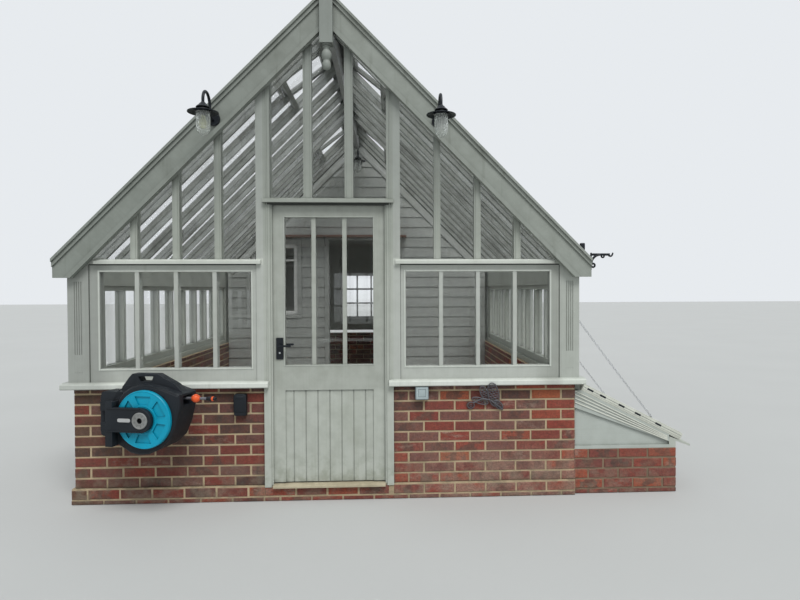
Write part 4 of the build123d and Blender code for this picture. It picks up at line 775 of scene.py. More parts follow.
def layBrick(start, end, bottom, top, place, tones):
    size = brickwork
    wander = size["wander"]
    along = (end - start) / size["length"]
    upward = (top - bottom) / size["height"]
    tilt = turned(y=rng.uniform(-0.5, 0.5)) if end - start > 0.1 and top - bottom > 0.05 else Matrix.Identity(4)
    shape = (place @ at(start, rng.uniform(-wander, wander * 0.3), bottom) @ tilt
             @ Matrix.Diagonal((along, 1, upward, 1)))
    brick = copyTo(brickPattern, shape)
    tone = (rng.uniform(*tones), rng.random(), rng.random())
    brick.data.attributes["brickTone"].data.foreach_set("vector", tone * len(brick.data.vertices))
    return brick


def layWall(length, bottom, top, place, firstCourse, shift, tones):
    size = brickwork
    bricks = []
    step = size["length"] + size["joint"]
    level = bottom if firstCourse is None else firstCourse
    course = 0
    while level < top - 0.008:
        low, high = max(level, bottom), min(level + size["pitch"] - size["joint"], top)
        if high - low > 0.010:
            start = -step / 2 if (course + shift) % 2 else 0.0
            while start < length - 0.015:
                left, right = max(start, 0.0), min(start + size["length"], length)
                if right - left > 0.03:
                    bricks.append(layBrick(left + rng.uniform(0, 0.003) * (left > 0), right - rng.uniform(0, 0.003),
                                           low + rng.uniform(0, 0.0012), high - rng.uniform(0, 0.002), place, tones))
                start += step
        level += size["pitch"]
        course += 1
    return bricks


def atWall(x, y, turn):
    return at(x, y, 0) @ turned(z=turn)


def bondWall(name, *runs):  # each run: length, low, high, place, first course, shift, range of colours
    bricks = []
    for run in runs:
        bricks += layWall(*run)
    piece = complete(bricks, name, facingBrick, slot="brick")
    print(name, len(piece.data.polygons))


mixed, warm, reddish = (0.0, 1.0), (0.08, 0.75), (0.0, 0.66)
half, end, out = b["brickHalf"], -b["brickFront"], b["plinthOut"]
post, foot, top = b["postOuter"], b["plinthHeight"], b["brickTop"]
face = end + out  # the plinth's face
below, base = -0.038, -0.035  # where the first course starts, under the ground
bondWall("front_bricks",
         (half - post, foot, top, atWall(-half, -end, 0), None, 0, (0.16, 1.0)),
         (half - post, foot, top, atWall(post, -end, 0), None, 1, mixed),
         (half - post + out, 0, foot, atWall(-half - out, -face, 0), below, 0, warm),
         (half - post, 0, foot, atWall(post, -face, 0), below, 1, warm))
bondWall("step_bricks", (2 * post, 0, 0.103, atWall(-post, -face, 0), below, 1, (0.1, 0.5)))
bondWall("left_bricks",
         (2 * end, foot, top, atWall(-half, end, -90), None, 1, mixed),
         (2 * face, 0, foot, atWall(-half - out, face, -90), below, 0, warm))
bondWall("right_bricks",
         (2 * end, foot, top, atWall(half, -end, 90), None, 1, mixed),
         (end - b["partitionY"], 0, foot, atWall(half, b["partitionY"], 90), below, 0, warm))
bondWall("back_bricks",
         (2 * half, foot, top, atWall(half, end, 180), None, 0, mixed),
         (2 * half + out, 0, foot, atWall(half, face, 180), below, 1, warm))
ih, ie, floorTop = b["innerHalf"], b["innerEnd"], b["floorTop"]
bondWall("inner_bricks", *[(length, floorTop, top, atWall(*place), 0.037, shift, mixed) for length, place, shift in (
    (2 * ie, (-ih, -ie, 90), 1), (2 * ie, (ih, ie, -90), 1), (2 * ih, (-ih, ie, 0), 0), (1.23, (-post, -ie, 180), 0),
    (1.23, (ih, -ie, 180), 0))])
bondWall("cold_frame_bricks", *[(length, 0, 0.33, atWall(*place), base, shift, reddish) for length, place, shift in (
    (0.772, (1.7973, -2.708, 0), 1), (3.623, (2.569, -2.708, 90), 0), (0.772, (2.569, 0.915, 180), 0),
    (3.417, (2.466, 0.812, -90), 1), (0.669, (1.7973, 0.812, 0), 0), (0.669, (2.466, -2.605, 180), 1))],
    (3.417, 0, foot, atWall(half, -2.605, 90), below, 0, warm))
bpy.data.objects.remove(brickPattern, do_unlink=True)

# first dressing of the frame's nodes

finishes = (
    (concrete, "floor"), (mortar, "front_walls side_walls back_wall door_step"), (dimMortar, "cold_frame_walls"),
    (paintFront, "front_frames"), (paintGable, "gable_bars door_frame"), (paintDoor, "door"),
    (paintUpright, "side_frames finials"), (paintBars, "roof_bars roof_vents"), (timberOld, "ridge"),
    (paintRaking, "front_bargeboards back_bargeboards"), (paintInner, "partition"), (timberRed, "shelf"),
    (iron, "shelf_brackets lamps basket_bracket reel_bracket handle_plates door_handle"), (felt, "shed_roof"),
    (paintLengthways, "shed_side_walls cold_frame_rails"), (paintAcross, "shed_back_wall"),
    (paintWhite, "shed_windows"), (jarGlass, "lamp_jars"), (greyPlastic, "socket_box"),
    (darkPlastic, "key_safe reel_housing hose_end gutters"), (turquoise, "reel_disc"),
    (paintCool, "cold_frame_cheeks"), (zinc, "lid_chains"), (roofGlass, "roof_glass"),
    (windowGlass, "front_glass door_glass side_glass roof_vent_glass shed_window_glass"),
    (paintWeathered, "lid_1 lid_2 lid_3 lid_4"), (lidGlass, "lid_glass_1 lid_glass_2 lid_glass_3 lid_glass_4"),
)
for material, names in finishes:
    for name in names.split():
        nodes[name].data.materials.clear()
        nodes[name].data.materials.append(material)
sill = nodes["door_frame"].data
sill.materials.append(sandyBed)
for side in sill.polygons:
    if side.center.z < 0.133 and abs(side.center.x) < 0.42:
        side.material_index = 1
print("frame dressed")

# boarded walls: feather-edged boards lapped from the bottom up

boards = {
    "pitch": 0.132,
    "lap": 0.012,
    "thick": 0.016,
    "thin": 0.004,
    "trim": 0.055,
    "trimThick": 0.024,
}
shedBoards = dict(boards, pitch=0.137, thick=0.0195, trimThick=0.022)


def addBoard(start, end, low, place, look):
    high = low + look["pitch"] + look["lap"]
    board = addBox("board", (start, -look["thick"], low), (end, 0, high))
    openMesh(board, "VERT")
    pick(board, lambda v: v.y < -look["thick"] / 2 and v.z > (low + high) / 2, "VERT")
    bpy.ops.transform.translate(value=(0, look["thick"] - look["thin"], 0))
    closeMesh()
    board.data.transform(place)
    return board


def boardWall(name, place, spans, low, high, look, material, slopes=None):  # each span: start, end, bottom, top
    pieces = []
    level = low
    while level < high - 0.02:
        for start, end, bottom, top in spans:
            if level + look["pitch"] > bottom + 0.01 and level < top - 0.01:
                board = addBoard(start, end, level, place, look)
                if level < bottom:
                    trim(board, (0, 0, bottom), (0, 0, -1))
                if level + look["pitch"] + look["lap"] > top:
                    trim(board, (0, 0, top), (0, 0, 1))
                pieces.append(board)
        level += look["pitch"]
    wall = joinAll(pieces, name)
    if slopes is not None:
        for side in (-1, 1):
            trim(wall, (0, 0, slopes), (side, 0, 1))
    roundEdges(wall, 0.0012, 1, 50)
    dress(wall, material)


def frameOpening(name, left, right, low, high, y, look, material, sill=False):
    wide, thick = look["trim"], look["trimThick"]
    front, back = (y - thick, y) if y < b["backY"] else (y, y + thick)
    pieces = [
        addBox("side", (left - wide, front, low), (left, back, high + wide)),
        addBox("side", (right, front, low), (right + wide, back, high + wide)),
        addBox("head", (left, front, high), (right, back, high + wide)),
    ]
    if sill:
        pieces.append(addBox("foot", (left - wide, front, low - wide * 0.8), (right + wide, back, low)))
    complete(pieces, name, material, edge=0.003)


partitionSpans = [
    (-1.69, -1.455, 0.10, 2.18), (-1.455, -0.735, 0.10, 1.145), (-1.455, -0.735, 2.175, 2.18),
    (-0.735, -0.435, 0.10, 2.18), (0.435, 1.69, 0.10, 2.18), (-1.69, -0.435, 2.18, 2.235), (0.435, 1.69, 2.18, 2.235),
    (-1.69, 1.69, 2.235, 3.6),
]
backSpans = [(-1.80, 1.80, 0.87, 0.985), (-1.80, -0.43, 0.985, 1.845), (0.43, 1.80, 0.985, 1.845),
             (-1.80, 1.80, 1.845, 3.5)]
wallY, backY = b["partitionY"], b["backY"]
boardWall("partition_boards", atWall(0, wallY, 0), partitionSpans, floorTop, 3.46, boards, paintInner, apex - 0.135)
frameOpening("partition_window_trim", -1.40, -0.79, 1.19, 2.12, wallY, boards, paintInner, True)
frameOpening("inner_door_trim", -0.38, 0.38, floorTop, 2.18, wallY, boards, paintInner)
rakes = [addPlank("rake", (side * 1.66, 0.900, apex - 1.66 - 0.19), (side * 0.03, 0.900, apex - 0.03 - 0.19),
                  0.085, 0.020, (0, -1, 0)) for side in (-1, 1)]
complete(rakes, "partition_rakes", paintInner, edge=0.003)
for name, place in (("shed_left_boards", atWall(-b["halfWidth"], 2.69, -90)),
                    ("shed_right_boards", atWall(b["halfWidth"], wallY, 90))):
    boardWall(name, place, [(0, 1.775, 0.87, 1.60)], 0.87, 1.56, shedBoards, paintLengthways)
boardWall("shed_back_boards", atWall(0, backY, 180), backSpans, 0.87, 3.40, shedBoards, paintAcross, apex - 0.20)
frameOpening("shed_window_trim", -0.375, 0.375, 1.035, 1.79, backY, shedBoards, paintUpright, True)
corners = [sideBox("corner", side, 1.77, 1.845, 2.735, 2.767, 0.868, 1.70) for side in (-1, 1)]
complete(corners, "shed_corners", paintUpright, edge=0.003)
print("boards ready")

# felt in three lapped widths on each slope of the shed, with clout nails

feltLook = {"sheets": ((1.74, 2.57), (0.95, 1.80), (0.14, 1.01)), "thick": 0.004, "step": 0.0015, "start": 1.015,
            "end": 2.742, "nails": 17, "firstNail": 1.06, "nailPitch": 0.102, "nailIn": 0.03}
sheets, nails = [], []
for side in (-1, 1):
    out = Vector((side, 0, 1)).normalized()
    root = math.sqrt(0.5)
    for number, (high, low) in enumerate(feltLook["sheets"], 1):
        lift = number * feltLook["step"]
        middle = (high + low) / 2 * root
        line = Vector((side * middle, 0, apex - middle)) + out * lift
        sheets.append(addPlank("felt", line + Vector((0, feltLook["start"], 0)), line + Vector((0, feltLook["end"], 0)),
                               low - high, feltLook["thick"], out))
        edge = (low - feltLook["nailIn"]) * root
        place = Vector((side * edge, 0, apex - edge)) + out * (lift + 0.002)
        for step in range(feltLook["nails"]):
            along = feltLook["firstNail"] + step * feltLook["nailPitch"] + rng.uniform(-0.012, 0.012)
            head = place + Vector((0, along, 0))
            nails.append(addRod("nail", head, head + out * 0.0016, 0.0055, 8))
complete(sheets, "felt_sheets", felt, slot="roof_board", edge=0.001, segments=1)
complete(nails, "felt_nails", zinc, slot="black_metal")

# turned finials with their blocks and pendants; both outlines are shares of the radius and the height

finialLook = {
    "half": 0.046, "near": 2.745, "far": 2.837, "foot": 3.244, "top": 3.6003,
    "pendant": 0.182, "pendantRadius": 0.0365, "spire": 0.400, "radius": 0.0612,
}
pendantLine = [(0.0, 0.0), (0.98, 0.0), (0.98, 0.045), (0.62, 0.05), (0.58, 0.085), (0.80, 0.105), (0.80, 0.135),
               (0.60, 0.15), (0.56, 0.20), (0.74, 0.25), (0.95, 0.33), (1.0, 0.42), (0.95, 0.51), (0.78, 0.59),
               (0.64, 0.63), (0.70, 0.67), (0.82, 0.74), (0.85, 0.81), (0.80, 0.89), (0.62, 0.96), (0.30, 0.99),
               (0.0, 1.0)]
spireLine = [(0.0, 0.0), (0.90, 0.0), (1.0, 0.025), (1.0, 0.055), (0.93, 0.085), (0.62, 0.115), (0.48, 0.16),
             (0.48, 0.20), (0.62, 0.235), (0.84, 0.28), (0.96, 0.33), (0.98, 0.38), (0.9, 0.43), (0.74, 0.48),
             (0.5, 0.53), (0.33, 0.57), (0.36, 0.59), (0.44, 0.61), (0.36, 0.64), (0.22, 0.67), (0.13, 0.8),
             (0.1, 0.92), (0.0, 1.0)]


def makeFinial(side):
    f = finialLook
    near, far = sorted((side * f["near"], side * f["far"]))
    centre = (near + far) / 2
    block = addBox("block", (-f["half"], near, f["foot"]), (f["half"], far, f["top"]))
    openMesh(block)
    pick(block, lambda c, n: n.z < -0.9)
    bpy.ops.mesh.inset(thickness=0.007)
    pull(0, 0, 0.004)
    closeMesh()
    roundEdges(block, 0.004, 2)
    hang = [(r * f["pendantRadius"], -h * f["pendant"]) for r, h in pendantLine]
    pendant = addLathe("pendant", softened(hang, 2), at(0, centre, f["foot"] + 0.004), 40)
    rise = [(r * f["radius"], h * f["spire"]) for r, h in spireLine]
    spire = addLathe("spire", softened(rise, 2), at(0, centre, f["top"] - 0.001), 40)
    return [block, pendant, spire]


finials = complete(makeFinial(-1) + makeFinial(1), "turned_finials", paintGable)
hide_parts("finials")
print("finials ready")

# lamps: ribbed jar, collar and bulb under each shade

lampLook = {"places": ((-0.790, -3.020, 2.7077), (0.790, -3.020, 2.7077), (0.020, 0.685, 3.1807)), "radius": 0.045,
            "height": 0.165, "wall": 0.003, "ribs": 16, "bargeFace": -2.790}
bulbLine = [(0.0, -0.120), (0.016, -0.119), (0.026, -0.104), (0.029, -0.086), (0.024, -0.066), (0.014, -0.048),
            (0.013, -0.030), (0.0, -0.029)]
capLine = [(0.0, 0.040), (0.013, 0.040), (0.015, 0.034), (0.024, 0.028), (0.028, 0.020), (0.040, 0.012), (0.046, 0.004)]
holderLine = [(0.0, 0.002), (0.020, 0.002), (0.020, -0.024), (0.015, -0.030), (0.0, -0.030)]


def makeLamp(number, x, y, top):  # returns the metal parts
    r, low, wall = lampLook["radius"], -lampLook["height"], lampLook["wall"]
    outside = [(r, 0.0), (r, low + 0.050), (r - 0.003, low + 0.032), (r - 0.011, low + 0.017), (r - 0.023, low + 0.006),
               (0.010, low + 0.002), (0.006, low), (0.0, low)]
    inside = [(0.0, low + wall + 0.002), (r - 0.024, low + 0.009), (r - 0.013, low + 0.020),
              (r - wall - 0.003, low + 0.034), (r - wall, low + 0.050), (r - wall, 0.0)]
    parts = [addLathe("jar", [inside[-1]] + outside + inside, at(x, y, top), 48)]
    for step in range(lampLook["ribs"]):
        angle = math.tau * step / lampLook["ribs"]
        foot = Vector((x, y, top)) + Vector((math.cos(angle), math.sin(angle), 0)) * (r - 0.0005)
        parts.append(addRod("rib", foot + Vector((0, 0, low + 0.048)), foot + Vector((0, 0, -0.012)), 0.0016, 6))
    jar = complete(parts, f"lamp_jar_{number}", jarGlass, slot="jar_glass")
    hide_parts("lamp_jars")
    bulb = addLathe(f"lamp_bulb_{number}", softened(bulbLine, 2), at(x, y, top), 28)
    dress(bulb, bulbYellow if number == 1 else bulbWhite, slot="jar_glass")
    collarLine = [(r - 0.001, 0.006), (r + 0.006, 0.006), (r + 0.007, 0.003), (r + 0.007, -0.008), (r + 0.004, -0.011),
                  (r + 0.001, -0.011), (r + 0.001, 0.0), (r - 0.001, 0.006)]
    face = lampLook["bargeFace"] if y < 0 else b["partitionY"]
    return [
        addLathe("collar", collarLine, at(x, y, top), 40),
        addLathe("holder", holderLine, at(x, y, top), 24),
        addLathe("cap", softened(capLine), at(x, y, top + 0.016), 32),
        *[addRod("screw", (x + side, face - 0.013, top + 0.004), (x + side, face - 0.017, top + 0.004), 0.0045, 8)
          for side in (-0.036, 0.036)],
    ]


lampMetal = [part for number, place in enumerate(lampLook["places"], 1) for part in makeLamp(number, *place)]
complete(lampMetal, "lamp_collars", iron, slot="black_metal")
print("lamps ready")

# lid chains of welded links, with a ring at each end

chainLook = {"ring": 0.0072, "wire": 0.0020, "draw": 0.0062, "pitch": 0.0236, "top": 1.400, "hookX": 1.844,
             "lidX": 2.5332, "lidZ": 0.4908, "places": (-2.361, -1.2765, -0.5535, 0.531), "sag": 0.010,
             "eye": 0.009, "lidEye": 0.008, "eyeWire": 0.002, "eyeX": 1.838, "plateX": 1.830, "plate": 0.012}


def makeLink(look):
    oval = addRing("linkPattern", look["ring"], look["wire"], Matrix.Identity(4), 10, 5)
    openMesh(oval, "VERT")
    for side in (-1, 1):
        bpy.ops.mesh.select_all(action="DESELECT")
        pick(oval, lambda v: v.x * side > 0.0001, "VERT")
        bpy.ops.transform.translate(value=(side * look["draw"], 0, 0))
    closeMesh()
    return oval


linkPattern = makeLink(chainLook)
look = chainLook
for number, y in enumerate(look["places"], 1):
    start, end = Vector((look["hookX"], y, look["top"])), Vector((look["lidX"], y, look["lidZ"]))
    count = round((end - start).length / look["pitch"])
    links = []
    for step in range(count + 1):
        share = step / count
        spot = start.lerp(end, share) - Vector((0, 0, 4 * look["sag"] * share * (1 - share)))
        slope = (end - start) - Vector((0, 0, 4 * look["sag"] * (1 - 2 * share)))
        turn = slope.to_track_quat("X", "Z").to_matrix().to_4x4()
        links.append(copyTo(linkPattern, at(*spot) @ turn @ turned(x=45 + 90 * (step % 2))))
    chain = joinAll(links, f"chain_{number}")
    chain.data.materials.clear()
    chain.data.materials.append(zinc)
    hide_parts("lid_chains")
    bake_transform(chain)
    eye = addRing("eye", look["eye"], look["eyeWire"], at(look["eyeX"], y, look["top"]) @ turned(x=90), 16, 6)
    plate = addRod("eyePlate", (b["halfWidth"], y, look["top"]), (look["plateX"], y, look["top"]), look["plate"])
    complete([eye, plate], f"chain_eye_{number}", zinc, slot="black_metal")
    place = at(look["lidX"] - 0.004, y, look["lidZ"] - 0.006) @ turned(x=90)
    lidEye = addRing("lidEye", look["lidEye"], look["eyeWire"], place, 16, 6)
    complete([lidEye], f"lid_eye_{number}", zinc, f"cold_lid_{number}", "black_metal")
bpy.data.objects.remove(linkPattern, do_unlink=True)
print("chains ready")

# cold frame trim: dark slots and a dark gap of painted shadow and beads on the first lid's edge, strips and hinge
# leaves on each lid, beads on the cheek

lidLook = {"x": 1.872, "z": 0.812, "slope": 27.0, "edge": -2.705, "start": 0.006, "end": 0.840,
           "shadowSlots": (0.045, 0.151, 0.310, 0.448, 0.623), "slotEnds": (-0.004, 0.044), "slotLow": -0.0255,
           "slotHigh": -0.0115, "gapLow": -0.0185, "gapHigh": -0.0165, "beads": (-0.029, -0.040), "beadHalf": 0.0035,
           "lights": 3, "rail": 0.060, "bar": 0.028, "railStrip": 0.022, "barStrip": 0.011, "stripStart": 0.05,
           "stripEnd": 0.838, "stripHigh": 0.0045, "sunk": -0.001, "leaf": 0.034, "leafEnd": 0.046, "leafHigh": 0.0022}
cheekLook = {"y": -2.7105, "ends": ((1.803, 0.7790, 0.6560), (2.505, 0.4210, 0.3790)), "thick": 0.0055,
             "beads": ((0.12, 0.008), (0.34, 0.009), (0.56, 0.009), (0.80, 0.010))}


def lidBox(name, y, low, high):  # a box in the slope of the lids
    piece = addBox(name, low, high)
    piece.data.transform(at(lidLook["x"], y, lidLook["z"]) @ turned(y=lidLook["slope"]))
    return piece


look = lidLook
before, after = look["slotEnds"]
# dark boxes of painted shadow where the lid's edge shows gaps
shadowSlots = [lidBox("slot", look["edge"], (along + before, -0.0018, look["slotLow"]),
                (along + after, 0.004, look["slotHigh"])) for along in look["shadowSlots"]]
shadowSlots.append(lidBox("gap", look["edge"], (look["start"], -0.0008, look["gapLow"]),
                    (look["end"], 0.004, look["gapHigh"])))
complete(shadowSlots, "lid_edge_shadow_slots", darkPlastic, "cold_lid_1", "black_metal")
lidBeads = [lidBox("bead", look["edge"], (look["start"], -0.0026, up - look["beadHalf"]),
                   (look["end"], 0.002, up + look["beadHalf"])) for up in look["beads"]]
complete(lidBeads, "lid_edge_beads", paintWeathered, "cold_lid_1", edge=0.0012)

for number in range(1, 5):
    low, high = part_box(f"lid_{number}")
    near, far = low[1], high[1]
    rail, bar, lights = look["rail"], look["bar"], look["lights"]
    clear = (far - near - 2 * rail - (lights - 1) * bar) / lights
    places = [(near + rail / 2, look["railStrip"])]
    places += [(near + rail - bar / 2 + step * (clear + bar), look["barStrip"]) for step in range(1, lights)]
    places.append((far - rail / 2, look["railStrip"]))
    strips = [lidBox("strip", 0, (look["stripStart"], y - half, look["sunk"]),
                     (look["stripEnd"], y + half, look["stripHigh"])) for y, half in places]
    for share in (0.2, 0.8):
        y = near + (far - near) * share
        strips.append(lidBox("leaf", 0, (look["start"], y - look["leaf"], look["sunk"]),
                             (look["leafEnd"], y + look["leaf"], look["leafHigh"])))
    complete(strips, f"lid_strips_{number}", paintWeathered, f"cold_lid_{number}", edge=0.0015)

beads = []
for share, wide in cheekLook["beads"]:
    start, end = [(x, cheekLook["y"], high + (low - high) * share) for x, high, low in cheekLook["ends"]]
    beads.append(addPlank("bead", start, end, wide, cheekLook["thick"], (0, -1, 0)))
complete(beads, "raking_beads", paintWeathered, edge=0.0015)
print("cold frame trimmed")

# gutter straps

strapLook = {"x": 1.860, "z": 1.717, "first": -2.62, "pitch": 0.87, "count": 7, "radius": 0.0365, "wire": 0.0035,
             "stretch": 2.4}
look = strapLook
straps = []
for side in (-1, 1):
    for step in range(look["count"]):
        place = at(side * look["x"], look["first"] + step * look["pitch"], look["z"]) @ turned(x=90)
        wider = place @ Matrix.Diagonal((1, 1, look["stretch"], 1))
        strap = addRing("strap", look["radius"], look["wire"], wider, 32, 6)
        trim(strap, (0, 0, look["z"] + 0.002), (0, 0, 1))
        straps.append(strap)
complete(straps, "gutter_straps", darkPlastic, slot="dark_plastic")

# vent stays inside the glass roof

stayLook = {"places": (-2.00, 0.17), "footX": 0.425, "footZ": 3.110, "footOut": 0.055, "headX": 0.472, "headZ": 3.222,
            "headOut": 0.045, "wide": 0.013, "thick": 0.003, "restX": 0.455, "restZ": 3.105, "restHalf": 0.11,
            "restWide": 0.022, "restThick": 0.004}
look = stayLook
stays = []
for side in (-1, 1):
    for y in look["places"]:
        for way in (-1, 1):
            foot = (side * look["footX"], y - way * look["footOut"], look["footZ"])
            head = (side * look["headX"], y + way * look["headOut"], look["headZ"])
            stays.append(addPlank("stay", foot, head, look["wide"], look["thick"], (side, 0, 1)))
        rest = [(side * look["restX"], y + way * look["restHalf"], look["restZ"]) for way in (-1, 1)]
        stays.append(addPlank("rest", *rest, look["restWide"], look["restThick"], (side, 0, 1)))
complete(stays, "vent_stays", zinc, slot="black_metal", edge=0.0008, segments=1)

# sandy mortar bedding at the foot of the door

bedLook = {"low": (-0.462, -2.737, 0.1005), "high": (0.462, -2.700, 0.1165), "inOut": (-0.0015, 0.0015),
           "upDown": (-0.003, 0.0022)}
bed = addBox("threshold_bed", bedLook["low"], bedLook["high"])
openMesh(bed, action="SELECT")
bpy.ops.mesh.subdivide(number_cuts=5)
bpy.ops.mesh.subdivide(number_cuts=3)
closeMesh()
for vert in bed.data.vertices:
    vert.co += Vector((0, rng.uniform(*bedLook["inOut"]), rng.uniform(*bedLook["upDown"])))
dress(bed, sandyBed, slot="brick")

# beads on the posts each side of the door

postBead = {"near": 0.4335, "far": 0.4415, "front": -2.7495, "back": -2.744, "low": 0.868, "high": 3.02}
beading = [sideBox("bead", side, **postBead) for side in (-1, 1)]
complete(beading, "post_beads", paintGable, edge=0.002, segments=3)

# stops at the ends of the corner posts' flutes, and the raised nib along each gable bar

flutes = {"post": 1.7515, "pitch": 0.015, "half": 0.004, "depth": 0.005, "stops": ((0.940, 1.066), (1.580, 1.634))}
stops = []
for side in (-1, 1):
    for step in (-1.5, -0.5, 0.5, 1.5):
        x = side * flutes["post"] + step * flutes["pitch"]
        for low, high in flutes["stops"]:
            stops.append(addBox("stop", (x - flutes["half"], b["frontY"] + 0.0002, low),
                                (x + flutes["half"], b["frontY"] + flutes["depth"], high)))
complete(stops, "flute_stops", paintFront)

gableBars = {"proud": 0.0035, "under": 0.142, "bars": (  # each bar: place, half its width, foot
    (0.782, 0.0135, 1.738), (1.075, 0.0135, 1.738), (1.368, 0.0135, 1.738), (0.147, 0.017, 2.176))}
face = b["panelFace"]
nibs = [sideBox("nib", side, place - half, place + half, face - gableBars["proud"], face + 0.002, foot,
                apex - place - gableBars["under"]) for side in (-1, 1) for place, half, foot in gableBars["bars"]]
complete(nibs, "gable_bar_nibs", paintGable, edge=0.0015)

# dark strips of painted shadow under the drips, the sills and the door head and beside the window panels, and glazing
# beads round the front windows and the door's lights

frontLook = {"endPost": 0.513, "corner": 1.679, "transom": 1.704, "sill": 0.870, "left": 0.552, "right": 1.606,
             "low": 0.963, "high": 1.648, "bead": 0.013, "proud": 0.0035}
sillShadow = {"front": -2.7215, "back": -2.712, "low": 0.812, "high": 0.8215}
doorShadows = (((-0.402, -2.7385, 2.1240), (0.402, -2.734, 2.1370)), ((-0.446, -2.7462, 2.1270), (0.446, -2.743, 2.1405)))
doorLights = {"half": 0.317, "low": 0.976, "high": 2.039, "face": -2.717, "bead": 0.009, "proud": 0.0025}


def beadsRound(left, right, face, look):  # four beads round an opening, a little clear of it
    rim, near = look["bead"], 0.0005
    low, high, front, back = look["low"], look["high"], face - look["proud"], face + 0.003
    return [
        addBox("bead", (left - rim, front, low - rim), (left - near, back, high + rim)),
        addBox("bead", (right + near, front, low - rim), (right + rim, back, high + rim)),
        addBox("bead", (left - near, front, low - rim), (right + near, back, low - near)),
        addBox("bead", (left - near, front, high + near), (right + near, back, high + rim)),
    ]


f = frontLook
shadowStrips, panes = [], []
for side in (-1, 1):
    top = f["transom"]
    shadowStrips.append(sideBox("strip", side, f["endPost"] + 0.001, f["corner"] - 0.001, face - 0.0012, face + 0.002,
                         top - 0.0085, top - 0.0005))
    shadowStrips.append(sideBox("strip", side, b["postOuter"] + 0.004, b["brickHalf"], **sillShadow))
    for near, far in ((f["corner"] - 0.0032, f["corner"] - 0.0002), (f["endPost"] + 0.0002, f["endPost"] + 0.0028)):
        shadowStrips.append(sideBox("strip", side, near, far, face - 0.0008, face + 0.002, f["sill"], top - 0.009))
    left, right = sorted((side * f["left"], side * f["right"]))
    panes += beadsRound(left, right, face, f)
shadowStrips += [addBox("strip", *corners) for corners in doorShadows]
complete(shadowStrips, "frame_shadow_strips", paintShadow)
complete(panes, "window_beads", paintBead, edge=0.0028)
doorBeads = beadsRound(-doorLights["half"], doorLights["half"], doorLights["face"], doorLights)
complete(doorBeads, "door_beads", paintDoorBead, "door_leaf", edge=0.0018)

# small boxes on the wall, and the cover of the keyhole

socketLook = {"in": 0.006, "proud": 0.0030, "border": 0.015, "sunk": 0.0035, "step": 0.0025, "raised": 0.0022}
low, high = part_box("socket_box")
margin = socketLook["in"]
rim = addBox("rim", (low[0] + margin, low[1] - socketLook["proud"], low[2] + margin),
             (high[0] - margin, low[1] + 0.004, high[2] - margin))
openMesh(rim)
pick(rim, lambda c, n: n.y < -0.9)
bpy.ops.mesh.inset(thickness=socketLook["border"])
pull(0, socketLook["sunk"], 0)
bpy.ops.mesh.inset(thickness=socketLook["step"])
pull(0, -socketLook["raised"], 0)
closeMesh()
complete([rim], "socket_rim", greyPlasticPale, slot="grey_plastic", edge=0.0016, segments=3, soft=35)

keyholeLook = {"share": 0.30, "sunk": 0.003, "proud": 0.0012, "radius": 0.0065}
low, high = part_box("handle_plates")
across, up = (low[0] + high[0]) / 2, low[2] + keyholeLook["share"] * (high[2] - low[2])
keyhole = addRod("keyhole_cover", (across, low[1] + keyholeLook["sunk"], up),
                 (across, low[1] - keyholeLook["proud"], up), keyholeLook["radius"], 24)
dress(keyhole, zinc, "door_leaf", "black_metal")

keySafe = {"over": 0.001, "proud": 0.004, "foot": 0.026, "back": 0.020, "head": 0.002, "corner": 0.022,
           "browIn": 0.014, "browProud": 0.0065, "browLow": 0.034, "browHigh": 0.012}
k = keySafe
low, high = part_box("key_safe")
cover = addBox("cover", (low[0] - k["over"], low[1] - k["proud"], low[2] + k["foot"]),
               (high[0] + k["over"], high[1] - k["back"], high[2] + k["head"]))
openMesh(cover, "EDGE")
pick(cover, lambda p, q: p.z > 0.7 and q.z > 0.7 and abs(p.x - q.x) < 0.001, "EDGE")
bpy.ops.mesh.bevel(offset=k["corner"], segments=6)
closeMesh()
complete([cover], "key_cover", darkPlastic, slot="black_metal", edge=0.004, segments=3, soft=35)
brow = addBox("brow", (low[0] + k["browIn"], low[1] - k["browProud"], high[2] - k["browLow"]),
              (high[0] - k["browIn"], low[1] + 0.004, high[2] - k["browHigh"]))
complete([brow], "key_brow", darkPlastic, slot="black_metal", edge=0.005, segments=3, soft=35)
print("boxes ready")

# hose reel: hub ring, blank plate, rims, screws and the fittings at the hose's end

reelLook = {
    "pivot": (-1.565, -2.778, 0.0), "turn": -12.5, "u": 0.473, "z": 0.681, "disc": 0.256, "arm": 0.288, "hub": 0.2874,
    "recess": 0.0572, "ticks": 8, "spokes": 6, "armHalf": 0.0745, "armStart": 0.235, "wallSide": -0.2305,
    "tick": ((0.029, -0.0015, 0.0052), (0.041, 0.0015, 0.0078)),
    "rims": ((0.1845, 0.0032, 0.001, 72), (0.088, 0.0028, 0.0005, 64)),  # radius, wire, sunk, steps around
    "spokeNear": 0.100, "spokeFar": 0.153, "spokeWire": 0.0026,
    "plateLeft": 0.158, "plateRight": 0.066, "plateHalf": 0.012, "plateCorner": 0.0115,
    "hubLine": [(0.0175, -0.004), (0.0175, 0.005), (0.023, 0.0072), (0.027, 0.005), (0.044, 0.005), (0.048, 0.0072),
                (0.0525, 0.0062), (0.0545, 0.002), (0.0545, -0.004)],
    "screws": ((0.292, 0.862), (0.606, 0.836), (0.560, 0.502), (0.318, 0.498)),
    "cups": ((0.800, 0.150), (0.590, 0.095)),
    "seam": ((0.241, 0.790), (0.272, 0.852), (0.333, 0.892), (0.433, 0.908), (0.593, 0.885), (0.700, 0.848)),
}
r = reelLook
u, z, arm = r["u"], r["z"], r["arm"]
onReel = at(*r["pivot"]) @ turned(z=r["turn"])
reel = {"body": "hose_reel", "slot": "dark_plastic"}


def reelFace(out):  # local upright points away from the wall
    return onReel @ at(u, -out, z) @ turned(x=90)


